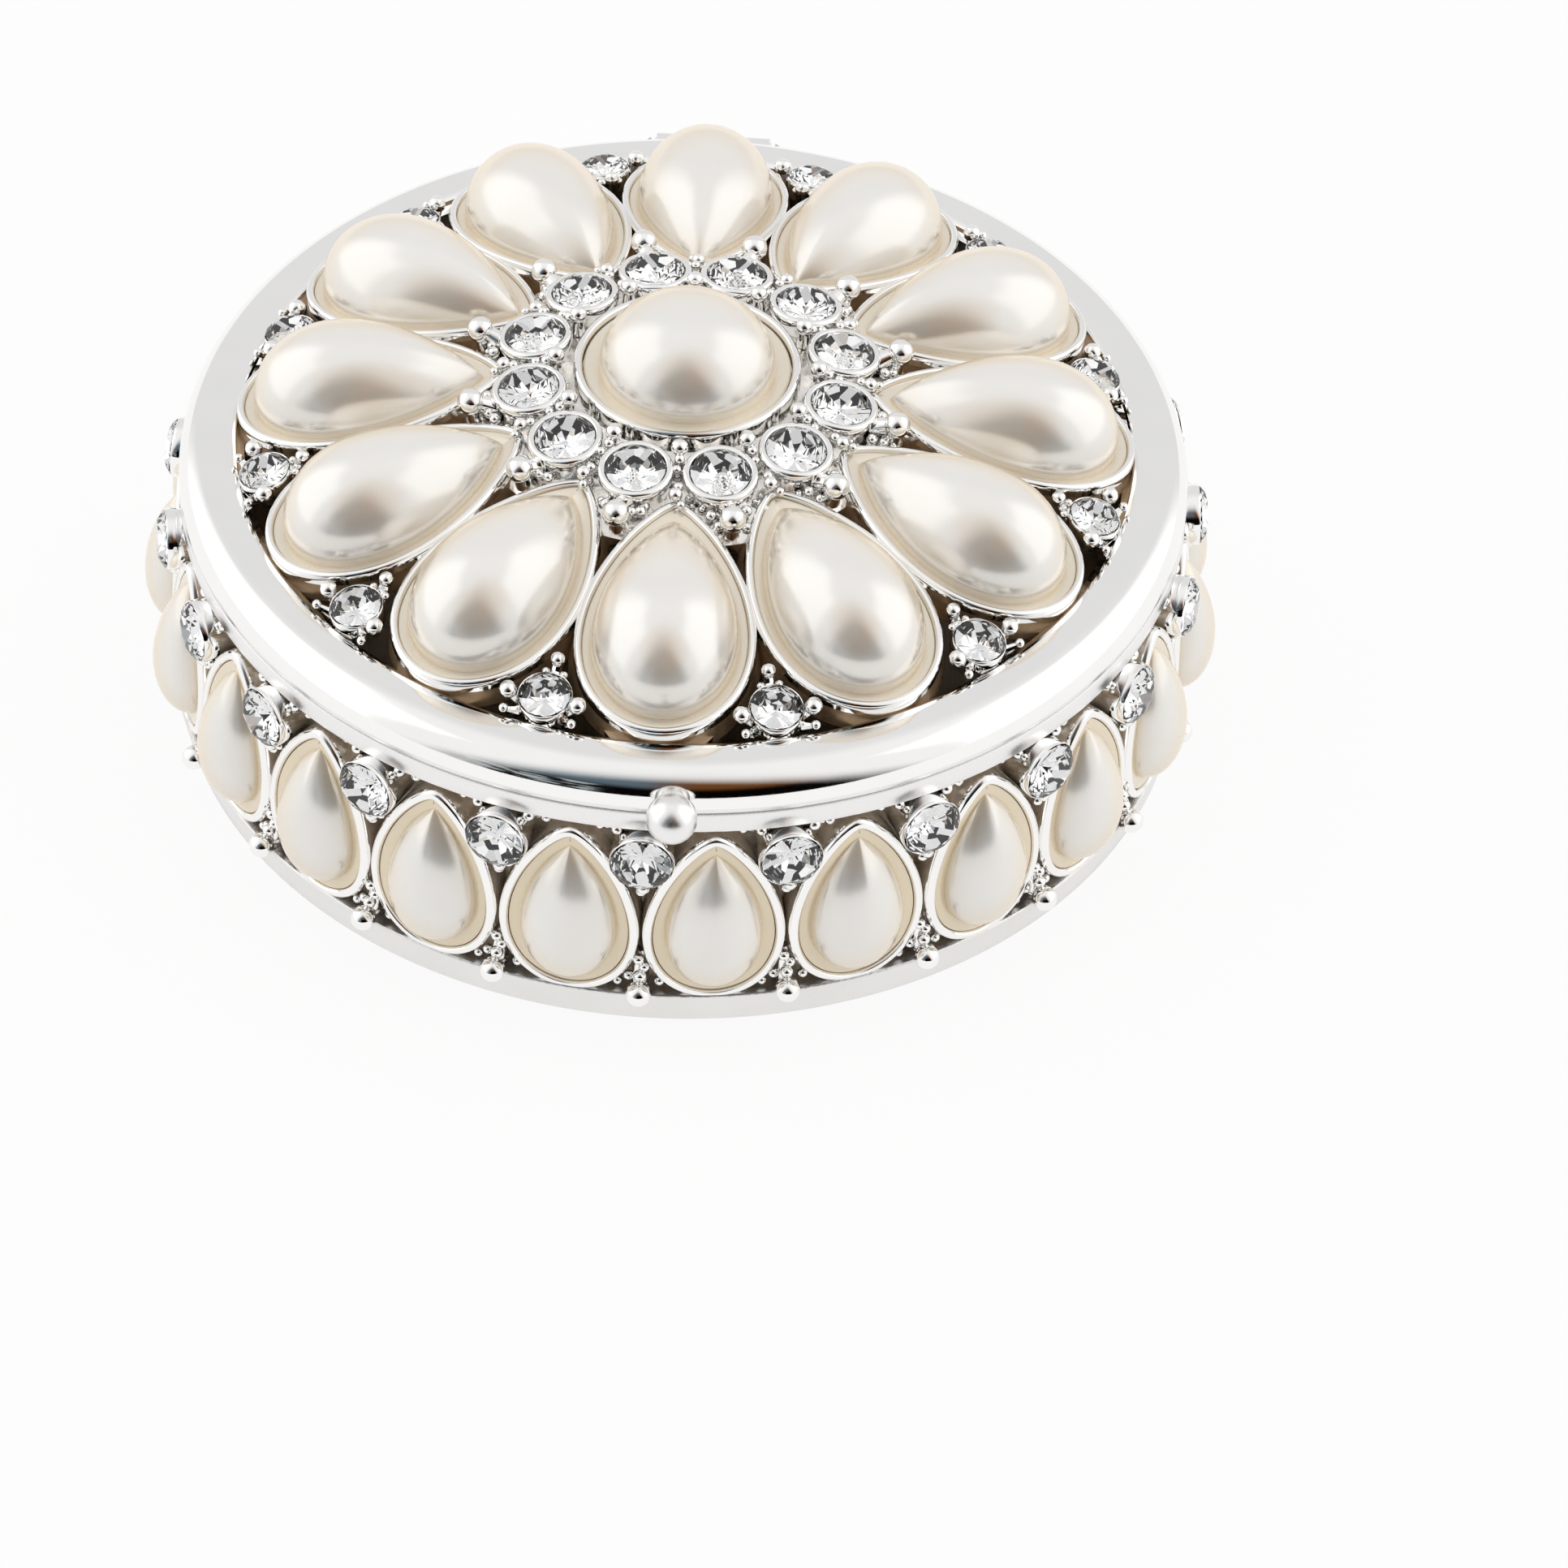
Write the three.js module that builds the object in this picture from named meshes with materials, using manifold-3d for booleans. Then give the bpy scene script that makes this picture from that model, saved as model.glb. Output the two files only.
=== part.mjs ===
import * as THREE from 'three';
import { mergeVertices } from 'three/addons/utils/BufferGeometryUtils.js';
import Module from 'manifold-3d';

const wasm = await Module();
wasm.setup();

// A small round trinket box of cast, silver-plated pewter, set all over with half-drop pearls and crystals.
// Millimetres, +Z up, the front at -Y. The origin is the middle of the underside.
// The pearls and crystals are bought in their own sizes, and the two castings are worked out around them.

// Clearances between separate pieces, and the overrun of every cut
const fitGap = 0.3;
const seamGap = 0.3;
const overrun = 0.5;

// How deep a cast detail runs into the part that carries it
const castBite = 0.8;

// Half-drop pearls of the lid, the round one in its middle, and the half drops of the side
const lidDropLength = 17.3;
const lidDropWidth = 10.4;
const lidDropDome = 5.3;
const lidDropFlange = 0.7;
const lidDropFlangeWidth = 0.5;
const centrePearlDiameter = 13.8;
const centrePearlDome = 5.3;
const sideDropLength = 12.3;
const sideDropWidth = 7.6;
const sideDropDome = 2.85;
const sideDropFlange = 0.8;
const sideDropFlangeWidth = 0.35;
const dropFullnessShare = 0.6;

// Foil-backed crystals: loose ones in the ring round the centre, and small ones set near the rims
const ringCrystalDiameter = 3.5;
const rimCrystalDiameter = 2.9;
const sideCrystalDiameter = 3.7;

// Bezels that hold them
const lidBezelWall = 0.7;
const centreBezelWall = 0.6;
const ringBezelWall = 0.3;
const rimBezelWall = 0.3;
const sideBezelWall = 0.5;
const sideCollarWall = 0.35;
const lidBezelFloor = 0.7;
const pearlRecess = 0.5;
const sidePearlRecess = 0.6;

// Plan of the lid, from the middle outwards
const hubSpace = 0.9;
const tipStandoff = 1.07;
const rimOverlap = 0.39;
const rimWidth = 4;
const ledgeBite = 0.5;

// Heights of the lid over the seam
const rimBandHeight = 1.1;
const rimCrownRise = 2.8;
const rimCrownInset = 3.2;
const lidLipRise = 3.6;
const ringCupRise = 0.92;
const centreCupRise = 0.6;
const deckDrop = 0.9;
const deckThickness = 1.8;
const lidSlope = THREE.MathUtils.degToRad(12);
const ringSlope = THREE.MathUtils.degToRad(8);

// Beads cast on the lid, inwards of the gaps between the drops
const lidBeadDiameter = 1.7;
const lidBeadRise = 1.15;
const lidBeadStandoff = 0.93;
const beadStemDiameter = 0.8;

// Body: foot band, leaning wall behind the pearls, top band, loose floor
const footBandHeight = 2.75;
const footBandFlare = 0.5;
const footBandProud = 1.1;
const cupFootOverlap = 0.3;
const cupHeadSpace = 0.3;
const topBandHeight = 1.6;
const sideLipProud = 0.65;
const sideLean = THREE.MathUtils.degToRad(2.8);
const sideCupSpace = 0.4;
const bodyRimWidth = 3;
const floorThickness = 1.6;
const floorRebate = 1;
const sideCrystalProud = 0.6;

// Hinge at the back
const pinDiameter = 1.2;
const pinHeadDiameter = 2.2;
const pinHeadLength = 0.6;
const knuckleWall = 0.6;
const lidKnuckleLength = 3.2;
const bodyKnuckleLength = 2.4;
const hingeOut = 0.3;

// Thumb knob at the front of the lid, a little to the right of the middle
const knobDiameter = 3.44;
const knobReach = 2.3;
const knobRise = 1.9;
const knobCollarDiameter = 2.2;
const knobCollarLength = 0.8;
const knobPegDiameter = 0.7;
const knobPegLength = 1.2;
const knobPegDrop = 0.5;
const knobTurn = THREE.MathUtils.degToRad(2);

// Pair of magnets that keeps the lid shut
const bodyMagnetDiameter = 6.8;
const bodyMagnetThickness = 2;
const bodyMagnetDrop = 0.5;
const bodyBossWall = 0.6;
const bodyBossDrop = 0.8;
const lidMagnetDiameter = 6.2;
const lidMagnetThickness = 1.1;
const lidBossWall = 0.6;
const bossBite = 0.3;

// Facet counts
const lidDropSteps = 12;
const sideDropSteps = 10;
const lidDomeSegments = 8;
const sideDomeSegments = 8;
const crystalSides = 8;
const fastCrystalSides = 6;
const stemSides = 4;
const knuckleSides = 12;
const beadDetail = 0;
const bossSides = 12;
const crownSteps = 4;
const centreSegments = 20;
const plateSegments = 36;

// Bezel outlines as a caster offsets them: pearl, then clearance, then wall
const lidCupWidth = lidDropWidth + 2 * (fitGap + lidBezelWall);
const sideCupWidth = sideDropWidth + 2 * (fitGap + sideBezelWall);
const lidCupPocket = pearlRecess + lidDropFlange + fitGap;
const lidCupDepth = lidCupPocket + lidBezelFloor;
const centreCupInner = centrePearlDiameter / 2 + fitGap;
const centreCupOuter = centreCupInner + centreBezelWall;
const ringCupRadius = ringCrystalDiameter / 2 + fitGap + ringBezelWall;
const rimCupRadius = rimCrystalDiameter / 2 + rimBezelWall;
const sideCollarRadius = sideCrystalDiameter / 2 + sideCollarWall;

// A drop's outline is a circle drawn out to a tip at -X. Its half width goes by the turn from 0, at the tip,
// to pi, at the round end.
const widestTurn = Math.acos(-dropFullnessShare / (2 + dropFullnessShare));
const widestShare = Math.sin(widestTurn) * Math.sin(widestTurn / 2) ** dropFullnessShare;

function dropHalfWidth(width, turn) {
  const share = (Math.sin(turn) * Math.abs(Math.sin(turn / 2)) ** dropFullnessShare) / widestShare;
  return (width / 2) * share;
}

function dropOutline(length, width, steps) {
  const points = [];
  for (let step = 0; step < steps; step += 1) {
    const turn = (2 * Math.PI * step) / steps;
    const along = (-length / 2) * Math.cos(turn);
    points.push(new THREE.Vector2(along, -dropHalfWidth(width, turn)));
  }
  return points;
}

// The same outline moved outwards by one distance all round, with mitred corners
function grown(points, distance) {
  return points.map((point, index) => {
    const before = points[(index + points.length - 1) % points.length];
    const after = points[(index + 1) % points.length];
    const inward = new THREE.Vector2().subVectors(point, before).normalize();
    const outward = new THREE.Vector2().subVectors(after, point).normalize();
    const firstNormal = new THREE.Vector2(inward.y, -inward.x);
    const nextNormal = new THREE.Vector2(outward.y, -outward.x);
    const mitre = distance / (1 + firstNormal.dot(nextNormal));
    return point.clone().addScaledVector(firstNormal, mitre).addScaledVector(nextNormal, mitre);
  });
}

const lidDropPoints = dropOutline(lidDropLength, lidDropWidth, lidDropSteps);
const sideDropPoints = dropOutline(sideDropLength, sideDropWidth, sideDropSteps);
const lidCupPoints = grown(lidDropPoints, fitGap + lidBezelWall);
const sideCupPoints = grown(sideDropPoints, fitGap + sideBezelWall);

// How far an outline reaches towards its tip and towards its round end
function tipReach(points) {
  return -Math.min(...points.map((point) => point.x));
}

function endReach(points) {
  return Math.max(...points.map((point) => point.x));
}

const lidTip = tipReach(lidCupPoints);
const lidEnd = endReach(lidCupPoints);
const sideTip = tipReach(sideCupPoints);
const sideEnd = endReach(sideCupPoints);

// Plan radii
const ringRadius = centreCupOuter + hubSpace + ringCupRadius;
const dropTipRadius = ringRadius + tipStandoff;
const dropRadius = dropTipRadius + lidTip * Math.cos(lidSlope);
const dropEndRadius = dropRadius + lidEnd * Math.cos(lidSlope);
const rimInnerRadius = dropEndRadius - rimOverlap;
const seamRadius = rimInnerRadius + rimWidth;
const bodyInnerRadius = seamRadius - bodyRimWidth;
const widestRadius = dropRadius - (lidDropLength / 2) * Math.cos(widestTurn) * Math.cos(lidSlope);
const sharedHalfWidth = (lidCupWidth - lidBezelWall) / 2;
const lidCount = Math.floor(Math.PI / Math.asin(sharedHalfWidth / widestRadius));
const sideLipRadius = seamRadius + sideLipProud;
const sideCount = Math.floor((2 * Math.PI * sideLipRadius) / (sideCupWidth + sideCupSpace));

// Heights
const sideCupBottom = footBandHeight - cupFootOverlap;
const sideDropHeight = sideCupBottom + sideEnd * Math.cos(sideLean);
const topBandBottom = sideDropHeight + sideTip * Math.cos(sideLean) + cupHeadSpace;
const seamHeight = topBandBottom + topBandHeight;
const bodyTop = seamHeight - seamGap / 2;
const lidBottom = seamHeight + seamGap / 2;
const dropEndHeight = seamHeight + lidLipRise;
const dropHeight = dropEndHeight + lidEnd * Math.sin(lidSlope);
const dropTipHeight = dropHeight + lidTip * Math.sin(lidSlope);
const ringHeight = dropTipHeight + ringCupRise;
const centreHeight = ringHeight + centreCupRise;

// Wall behind the side pearls
const sideSeatDepth = sidePearlRecess + sideDropFlange + fitGap;
const wallMiddleRadius = sideLipRadius - sideSeatDepth / Math.cos(sideLean);

function wallRadius(height) {
  return wallMiddleRadius - (height - sideDropHeight) * Math.tan(sideLean);
}

// Angles, counted from the front, which is -Y
const front = -Math.PI / 2;
const lidStep = (2 * Math.PI) / lidCount;
const sideStep = (2 * Math.PI) / sideCount;
const sidePhase = THREE.MathUtils.degToRad(-1);
const lidSegments = 3 * lidCount;
const sideSegments = 2 * sideCount;

// Materials
function metal(color, roughness) {
  return new THREE.MeshStandardMaterial({ color, roughness, metalness: 1, flatShading: true });
}

function pearl() {
  return new THREE.MeshStandardMaterial({ color: 0xf1ece2, roughness: 0.3, metalness: 0.05, flatShading: true });
}

function crystal() {
  return new THREE.MeshStandardMaterial({ color: 0xdfe6ec, roughness: 0.04, metalness: 0.2, flatShading: true });
}

// Solids: a closed geometry becomes something that can be joined and cut, and comes back as a geometry
const axisCount = 3;

function toSolid(geometry) {
  const bare = geometry.clone();
  bare.deleteAttribute('normal');
  bare.deleteAttribute('uv');
  const welded = mergeVertices(bare);
  const places = welded.attributes.position.array;
  const kept = [];
  let volume = 0;
  const corners = [new THREE.Vector3(), new THREE.Vector3(), new THREE.Vector3()];
  for (let start = 0; start < welded.index.count; start += corners.length) {
    const triple = [0, 1, 2].map((offset) => welded.index.getX(start + offset));
    if (new Set(triple).size === triple.length) {
      kept.push(triple);
      triple.forEach((vertex, corner) => corners[corner].fromArray(places, axisCount * vertex));
      volume += corners[0].dot(corners[1].clone().cross(corners[2]));
    }
  }
  const ordered = volume < 0 ? kept.map(([a, b, c]) => [a, c, b]) : kept;
  return new wasm.Manifold(new wasm.Mesh({
    numProp: axisCount,
    vertProperties: new Float32Array(places),
    triVerts: new Uint32Array(ordered.flat()),
  }));
}

function toGeometry(solid) {
  const mesh = solid.getMesh();
  const geometry = new THREE.BufferGeometry();
  geometry.setAttribute('position', new THREE.BufferAttribute(new Float32Array(mesh.vertProperties), 3));
  geometry.setIndex(new THREE.BufferAttribute(new Uint32Array(mesh.triVerts), 1));
  return geometry;
}

function joined(solids) {
  return solids.reduce((sum, next) => sum.add(next));
}

function cut(solid, tools) {
  return tools.reduce((rest, tool) => rest.subtract(tool), solid);
}

// Geometry makers that stand on the XY plane and rise along +Z
function extruded(points, bottom, top) {
  const geometry = new THREE.ExtrudeGeometry(new THREE.Shape(points), {
    depth: top - bottom,
    bevelEnabled: false,
  });
  return geometry.translate(0, 0, bottom);
}

// A profile of [radius, height] pairs turned about the Z axis
function turned(profile, segments, start = 0) {
  const points = profile.map(([radius, height]) => new THREE.Vector2(radius, height));
  return new THREE.LatheGeometry(points, segments).rotateX(Math.PI / 2).rotateZ(start);
}

function rod(radius, bottom, top, sides) {
  return turned([[0, bottom], [radius, bottom], [radius, top], [0, top]], sides);
}

// A ring seat: a place at one angle round the axis, at a radius and height, with its own +Z tipped outwards
function ringSeat(angle, radius, height, tip) {
  const spoke = new THREE.Group();
  spoke.rotation.z = angle;
  const seat = new THREE.Group();
  seat.position.set(radius, 0, height);
  seat.rotation.y = tip;
  spoke.add(seat);
  spoke.updateMatrixWorld(true);
  return { spoke, seat };
}

function placed(geometry, { seat }) {
  return toSolid(geometry.clone().applyMatrix4(seat.matrixWorld));
}

function lidDropSeat(index) {
  return ringSeat(front + index * lidStep, dropRadius, dropHeight, lidSlope);
}

function ringCrystalSeat(index) {
  return ringSeat(front + (index + 1 / 2) * lidStep, ringRadius, ringHeight, ringSlope);
}

function sideDropSeat(index) {
  const angle = front + sidePhase + (index + 1 / 2) * sideStep;
  return ringSeat(angle, sideLipRadius, sideDropHeight, Math.PI / 2 - sideLean);
}

// Half-drop pearl: a flat flange with the half of a turned drop standing on it
function dropPearl(outline, length, width, size, steps, segments) {
  const domeWidth = width - 2 * size.flangeWidth;
  const domeLength = length - 2 * size.flangeWidth;
  const profile = [];
  for (let step = 0; step <= steps / 2; step += 1) {
    const turn = (2 * Math.PI * step) / steps;
    profile.push(new THREE.Vector2(dropHalfWidth(domeWidth, turn), (-domeLength / 2) * Math.cos(turn)));
  }
  profile[0].x = 0;
  profile[profile.length - 1].x = 0;
  const dome = new THREE.LatheGeometry(profile, segments);
  dome.rotateZ(-Math.PI / 2);
  dome.scale(1, 1, size.dome / (domeWidth / 2));
  const sunk = size.flange / 2;
  const keep = new THREE.BoxGeometry(length, width, size.dome + sunk + overrun);
  keep.translate(0, 0, (size.dome + overrun - sunk) / 2);
  const half = toGeometry(toSolid(dome).intersect(toSolid(keep)));
  const plate = extruded(outline, 0, size.flange);
  return toGeometry(toSolid(half.translate(0, 0, size.flange)).add(toSolid(plate)));
}

const lidDropSize = { flange: lidDropFlange, flangeWidth: lidDropFlangeWidth, dome: lidDropDome };
const sideDropSize = { flange: sideDropFlange, flangeWidth: sideDropFlangeWidth, dome: sideDropDome };

// Round half pearl of the middle: flange and low dome in one turned profile
function centrePearlGeometry() {
  const radius = centrePearlDiameter / 2;
  const domeRadius = radius - lidDropFlangeWidth;
  const profile = [[0, 0], [radius, 0], [radius, lidDropFlange]];
  for (let step = 0; step <= crownSteps; step += 1) {
    const turn = (Math.PI / 2) * (step / crownSteps);
    const reach = step === crownSteps ? 0 : domeRadius * Math.cos(turn);
    profile.push([reach, lidDropFlange + centrePearlDome * Math.sin(turn)]);
  }
  return turned(profile, centreSegments);
}

// Brilliant-cut crystal: pointed pavilion, thin girdle, crown with a flat table. The girdle's foot is at 0.
const tableShare = 0.55;
const crownShare = 0.17;
const pavilionShare = 0.36;
const girdleShare = 0.05;

function brilliant(diameter) {
  const radius = diameter / 2;
  const girdle = girdleShare * diameter;
  const top = girdle + crownShare * diameter;
  return [[0, -pavilionShare * diameter], [radius, 0], [radius, girdle], [tableShare * radius, top], [0, top]];
}

// Seat for a brilliant: its own pavilion with the clearance round it, open at the top
function brilliantSeat(diameter, top) {
  const radius = diameter / 2 + fitGap;
  const depth = (pavilionShare * diameter * radius) / (diameter / 2);
  return [[0, -depth - fitGap / 2], [radius, -fitGap / 2], [radius, top], [0, top]];
}

// Crystal that is set fast in its collar: the wall rises to the girdle, and the crown starts at its edge
function fastCrystal(diameter, wall, depth) {
  const radius = diameter / 2;
  const crown = crownShare * diameter;
  return [[0, -depth], [radius + wall, -depth], [radius + wall, 0], [tableShare * radius, crown], [0, crown]];
}

// Cast bead on a round stem, which goes down to the given depth under the bead's middle
function beadOnStem(diameter, depth) {
  const bead = toSolid(new THREE.IcosahedronGeometry(diameter / 2, beadDetail));
  const stem = toSolid(rod(beadStemDiameter / 2, -depth, 0, stemSides));
  return toGeometry(bead.add(stem));
}

// Hinge: the axis lies along X on the seam, just outside the wall
const hingeRadius = seamRadius + hingeOut;
const boreRadius = pinDiameter / 2 + fitGap;
const knuckleRadius = boreRadius + knuckleWall;
const knuckleSweep = knuckleRadius + fitGap;
const bodyKnuckleStart = lidKnuckleLength / 2 + fitGap;
const bodyKnuckleEnd = bodyKnuckleStart + bodyKnuckleLength;
const pinHeadStart = bodyKnuckleEnd + fitGap;
const pinEnd = pinHeadStart + pinHeadLength;

function alongHinge(radius, from, to) {
  const bar = rod(radius, from, to, knuckleSides);
  bar.rotateY(Math.PI / 2);
  return toSolid(bar.translate(0, hingeRadius, seamHeight));
}

function bothSides(maker) {
  return [maker(1), maker(-1)];
}

function alongHingeSide(side, radius, from, to) {
  return side > 0 ? alongHinge(radius, from, to) : alongHinge(radius, -to, -from);
}

const hingeBore = alongHinge(boreRadius, -pinEnd - overrun, pinEnd + overrun);

// Lid rim: flat seat, upright band, crown that rolls over to the inner edge, and the ledge under the bezels
const ledgeRadius = dropEndRadius - lidCupDepth * Math.sin(lidSlope) - ledgeBite;
const ledgeTop = dropEndHeight - lidCupDepth * Math.cos(lidSlope) + ledgeBite;

function lidRim() {
  const crown = new THREE.CubicBezierCurve(
    new THREE.Vector2(seamRadius, seamHeight + rimBandHeight),
    new THREE.Vector2(seamRadius, seamHeight + (rimBandHeight + rimCrownRise) / 2),
    new THREE.Vector2(seamRadius - rimCrownInset / 2, seamHeight + rimCrownRise),
    new THREE.Vector2(seamRadius - rimCrownInset, seamHeight + rimCrownRise),
  );
  const profile = [[ledgeRadius, lidBottom], [seamRadius, lidBottom]];
  crown.getPoints(crownSteps).forEach((point) => profile.push([point.x, point.y]));
  profile.push([rimInnerRadius, seamHeight + rimCrownRise]);
  profile.push([rimInnerRadius, ledgeTop]);
  profile.push([ledgeRadius, ledgeTop]);
  profile.push([ledgeRadius, lidBottom]);
  return toSolid(turned(profile, lidSegments));
}

// Hub: the middle bezel on a sloping deck, which reaches out under the tips of the drops
const lidBeadRadius = dropTipRadius + lidBeadStandoff + lidBeadDiameter + fitGap;
const deckRadius = lidBeadRadius + beadStemDiameter / 2;

function deckHeight(radius) {
  return dropTipHeight - deckDrop - (radius - dropTipRadius) * Math.tan(lidSlope);
}

const centreFloor = centreHeight - lidCupPocket;

function lidHub() {
  const corner = 1 / Math.cos(lidStep / 2);
  const inner = centreCupInner - castBite;
  const deck = [
    [inner, deckHeight(inner) - deckThickness],
    [deckRadius * corner, deckHeight(deckRadius) - deckThickness],
    [deckRadius * corner, deckHeight(deckRadius)],
    [inner, deckHeight(inner)],
    [inner, deckHeight(inner) - deckThickness],
  ];
  const cup = [
    [0, centreFloor - lidBezelFloor - deckThickness],
    [centreCupOuter, centreFloor - lidBezelFloor - deckThickness],
    [centreCupOuter, centreHeight],
    [centreCupInner, centreHeight],
    [centreCupInner, centreFloor],
    [0, centreFloor],
  ];
  return toSolid(turned(deck, lidCount, lidStep / 2)).add(toSolid(turned(cup, centreSegments)));
}

// Magnet places, both under the front drop
const bodyBossRadius = bodyMagnetDiameter / 2 + fitGap + bodyBossWall;
const lidBossRadius = lidMagnetDiameter / 2 + fitGap + lidBossWall;
const magnetRadius = bodyInnerRadius + bossBite - bodyBossRadius;
const magnetSeat = ringSeat(front, magnetRadius, 0, 0);
const bodyBossTop = bodyTop - bodyBossDrop;
const bodyMagnetTop = bodyBossTop - bodyMagnetDrop;
const lidMagnetBottom = lidBottom + fitGap / 2;
const lidBossPocket = lidMagnetBottom + lidMagnetThickness + fitGap;

// Knob peg and the hole for it
const knobRadius = seamRadius + knobReach;
const knobHeight = seamHeight + knobRise;
const knobDip = Math.atan2(knobPegDrop, knobReach);
const knobSeat = ringSeat(front + knobTurn, knobRadius, knobHeight, Math.PI / 2 - knobDip);

function lidCasting() {
  const body = [lidRim(), lidHub()];
  const pockets = [];
  const cup = extruded(lidCupPoints, -lidCupDepth, 0);
  const pocket = extruded(grown(lidDropPoints, fitGap), -lidCupPocket, overrun);
  const ringCupDepth = ringHeight - deckHeight(ringRadius) + castBite;
  const ringCup = rod(ringCupRadius, -ringCupDepth, 0, crystalSides);
  const ringPocket = turned(brilliantSeat(ringCrystalDiameter, overrun), crystalSides);
  const rimCup = turned(fastCrystal(rimCrystalDiameter, rimBezelWall, lidCupDepth), fastCrystalSides);
  const lidBead = beadOnStem(lidBeadDiameter, lidBeadRise + deckDrop + castBite);
  const rimCupPlace = rimInnerRadius - rimCupRadius + ledgeBite / 2;
  const rimCupHeight = dropEndHeight - (rimCupPlace - dropEndRadius) * Math.tan(lidSlope) - fitGap;
  const lidBeadHeight = deckHeight(lidBeadRadius) + deckDrop + lidBeadRise;
  for (let index = 0; index < lidCount; index += 1) {
    const between = front + (index + 1 / 2) * lidStep;
    const rimSeat = ringSeat(between, rimCupPlace, rimCupHeight, lidSlope);
    body.push(placed(cup, lidDropSeat(index)));
    body.push(placed(ringCup, ringCrystalSeat(index)));
    body.push(placed(rimCup, rimSeat));
    body.push(placed(lidBead, ringSeat(between, lidBeadRadius, lidBeadHeight, 0)));
    pockets.push(placed(pocket, lidDropSeat(index)));
    pockets.push(placed(ringPocket, ringCrystalSeat(index)));
  }
  body.push(placed(rod(lidBossRadius, lidBottom, lidBossPocket + lidBezelFloor, bossSides), magnetSeat));
  const magnetPocket = rod(lidMagnetDiameter / 2 + fitGap, lidBottom - overrun, lidBossPocket, bossSides);
  const knuckleCuts = bothSides((side) => (
    alongHingeSide(side, knuckleSweep, bodyKnuckleStart - fitGap, pinEnd + fitGap)
  ));
  const pegHole = rod(knobPegDiameter / 2 + fitGap, -knobReach - knobPegLength - fitGap, 0, crystalSides);
  const blank = cut(joined(body), [...pockets, placed(magnetPocket, magnetSeat), ...knuckleCuts]);
  const knuckle = alongHinge(knuckleRadius, -lidKnuckleLength / 2, lidKnuckleLength / 2);
  return toGeometry(cut(blank.add(knuckle), [hingeBore, placed(pegHole, knobSeat)]));
}

// Body casting: foot band, wall with one flat for each pearl, top band, and an open inside with a flat rim
const footRadius = seamRadius + footBandProud;
const ledgeUnder = floorThickness + fitGap;

function bodyShell() {
  const core = wallRadius(topBandBottom) - castBite;
  const profile = [
    [bodyInnerRadius + floorRebate, 0],
    [footRadius - footBandFlare, 0],
    [footRadius, footBandHeight],
    [core, footBandHeight],
    [core, topBandBottom],
    [seamRadius, topBandBottom],
    [seamRadius, bodyTop],
    [bodyInnerRadius, bodyTop],
    [bodyInnerRadius, ledgeUnder],
    [bodyInnerRadius + floorRebate, ledgeUnder],
    [bodyInnerRadius + floorRebate, 0],
  ];
  return toSolid(turned(profile, sideSegments, sidePhase));
}

function flatWall() {
  const corner = 1 / Math.cos(sideStep / 2);
  const inner = (bodyInnerRadius + wallRadius(topBandBottom) - castBite) / 2;
  const bottom = footBandHeight - fitGap;
  const top = topBandBottom + fitGap;
  const profile = [
    [inner, bottom],
    [wallRadius(bottom) * corner, bottom],
    [wallRadius(top) * corner, top],
    [inner, top],
    [inner, bottom],
  ];
  return toSolid(turned(profile, sideCount, sidePhase));
}

// Body casting whole: side bezels, collars with their crystals, magnet boss and end knuckles
function bodyCasting() {
  const body = [bodyShell(), flatWall()];
  const ring = new THREE.Shape(sideCupPoints);
  ring.holes.push(new THREE.Path(grown(sideDropPoints, fitGap).reverse()));
  const depth = sideSeatDepth + fitGap;
  const cup = new THREE.ExtrudeGeometry(ring, { depth, bevelEnabled: false }).translate(0, 0, -depth);
  const collarDepth = sideSeatDepth + sideCrystalProud;
  const collar = turned(fastCrystal(sideCrystalDiameter, sideCollarWall, collarDepth), fastCrystalSides);
  const collarHeight = topBandBottom - sideCollarRadius;
  const collarRadius = wallRadius(collarHeight) + collarDepth;
  for (let index = 0; index < sideCount; index += 1) {
    const between = front + sidePhase + index * sideStep;
    body.push(placed(cup, sideDropSeat(index)));
    body.push(placed(collar, ringSeat(between, collarRadius, collarHeight, Math.PI / 2 - sideLean)));
  }
  body.push(placed(rod(bodyBossRadius, ledgeUnder, bodyBossTop, bossSides), magnetSeat));
  const pocketFloor = bodyMagnetTop - bodyMagnetThickness - fitGap;
  const pocket = rod(bodyMagnetDiameter / 2 + fitGap, pocketFloor, bodyTop + overrun, bossSides);
  const knuckles = bothSides((side) => (
    alongHingeSide(side, knuckleRadius, bodyKnuckleStart, bodyKnuckleEnd)
  ));
  const lidSweep = alongHinge(knuckleSweep, -bodyKnuckleStart, bodyKnuckleStart);
  const headRadius = pinHeadDiameter / 2 + fitGap;
  const headCuts = bothSides((side) => (
    alongHingeSide(side, headRadius, bodyKnuckleEnd, pinEnd + fitGap)
  ));
  const blank = cut(joined([...body, ...knuckles]), [placed(pocket, magnetSeat), lidSweep, ...headCuts]);
  return toGeometry(blank.subtract(hingeBore));
}

// Floor: a separate disc let into the foot from below
function floorPlate() {
  return rod(bodyInnerRadius + floorRebate - fitGap, 0, floorThickness, plateSegments);
}

// Hinge pin with a domed head at both ends
function hingePin() {
  const bar = alongHinge(pinDiameter / 2, -pinHeadStart, pinHeadStart);
  const heads = bothSides((side) => {
    const head = turned([
      [0, 0],
      [pinHeadDiameter / 2, 0],
      [pinHeadDiameter / 2 - pinHeadLength / 4, pinHeadLength / 2],
      [0, pinHeadLength],
    ], knuckleSides);
    head.rotateY((side * Math.PI) / 2);
    return toSolid(head.translate(side * pinHeadStart, hingeRadius, seamHeight));
  });
  return toGeometry(joined([bar, ...heads]));
}

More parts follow.
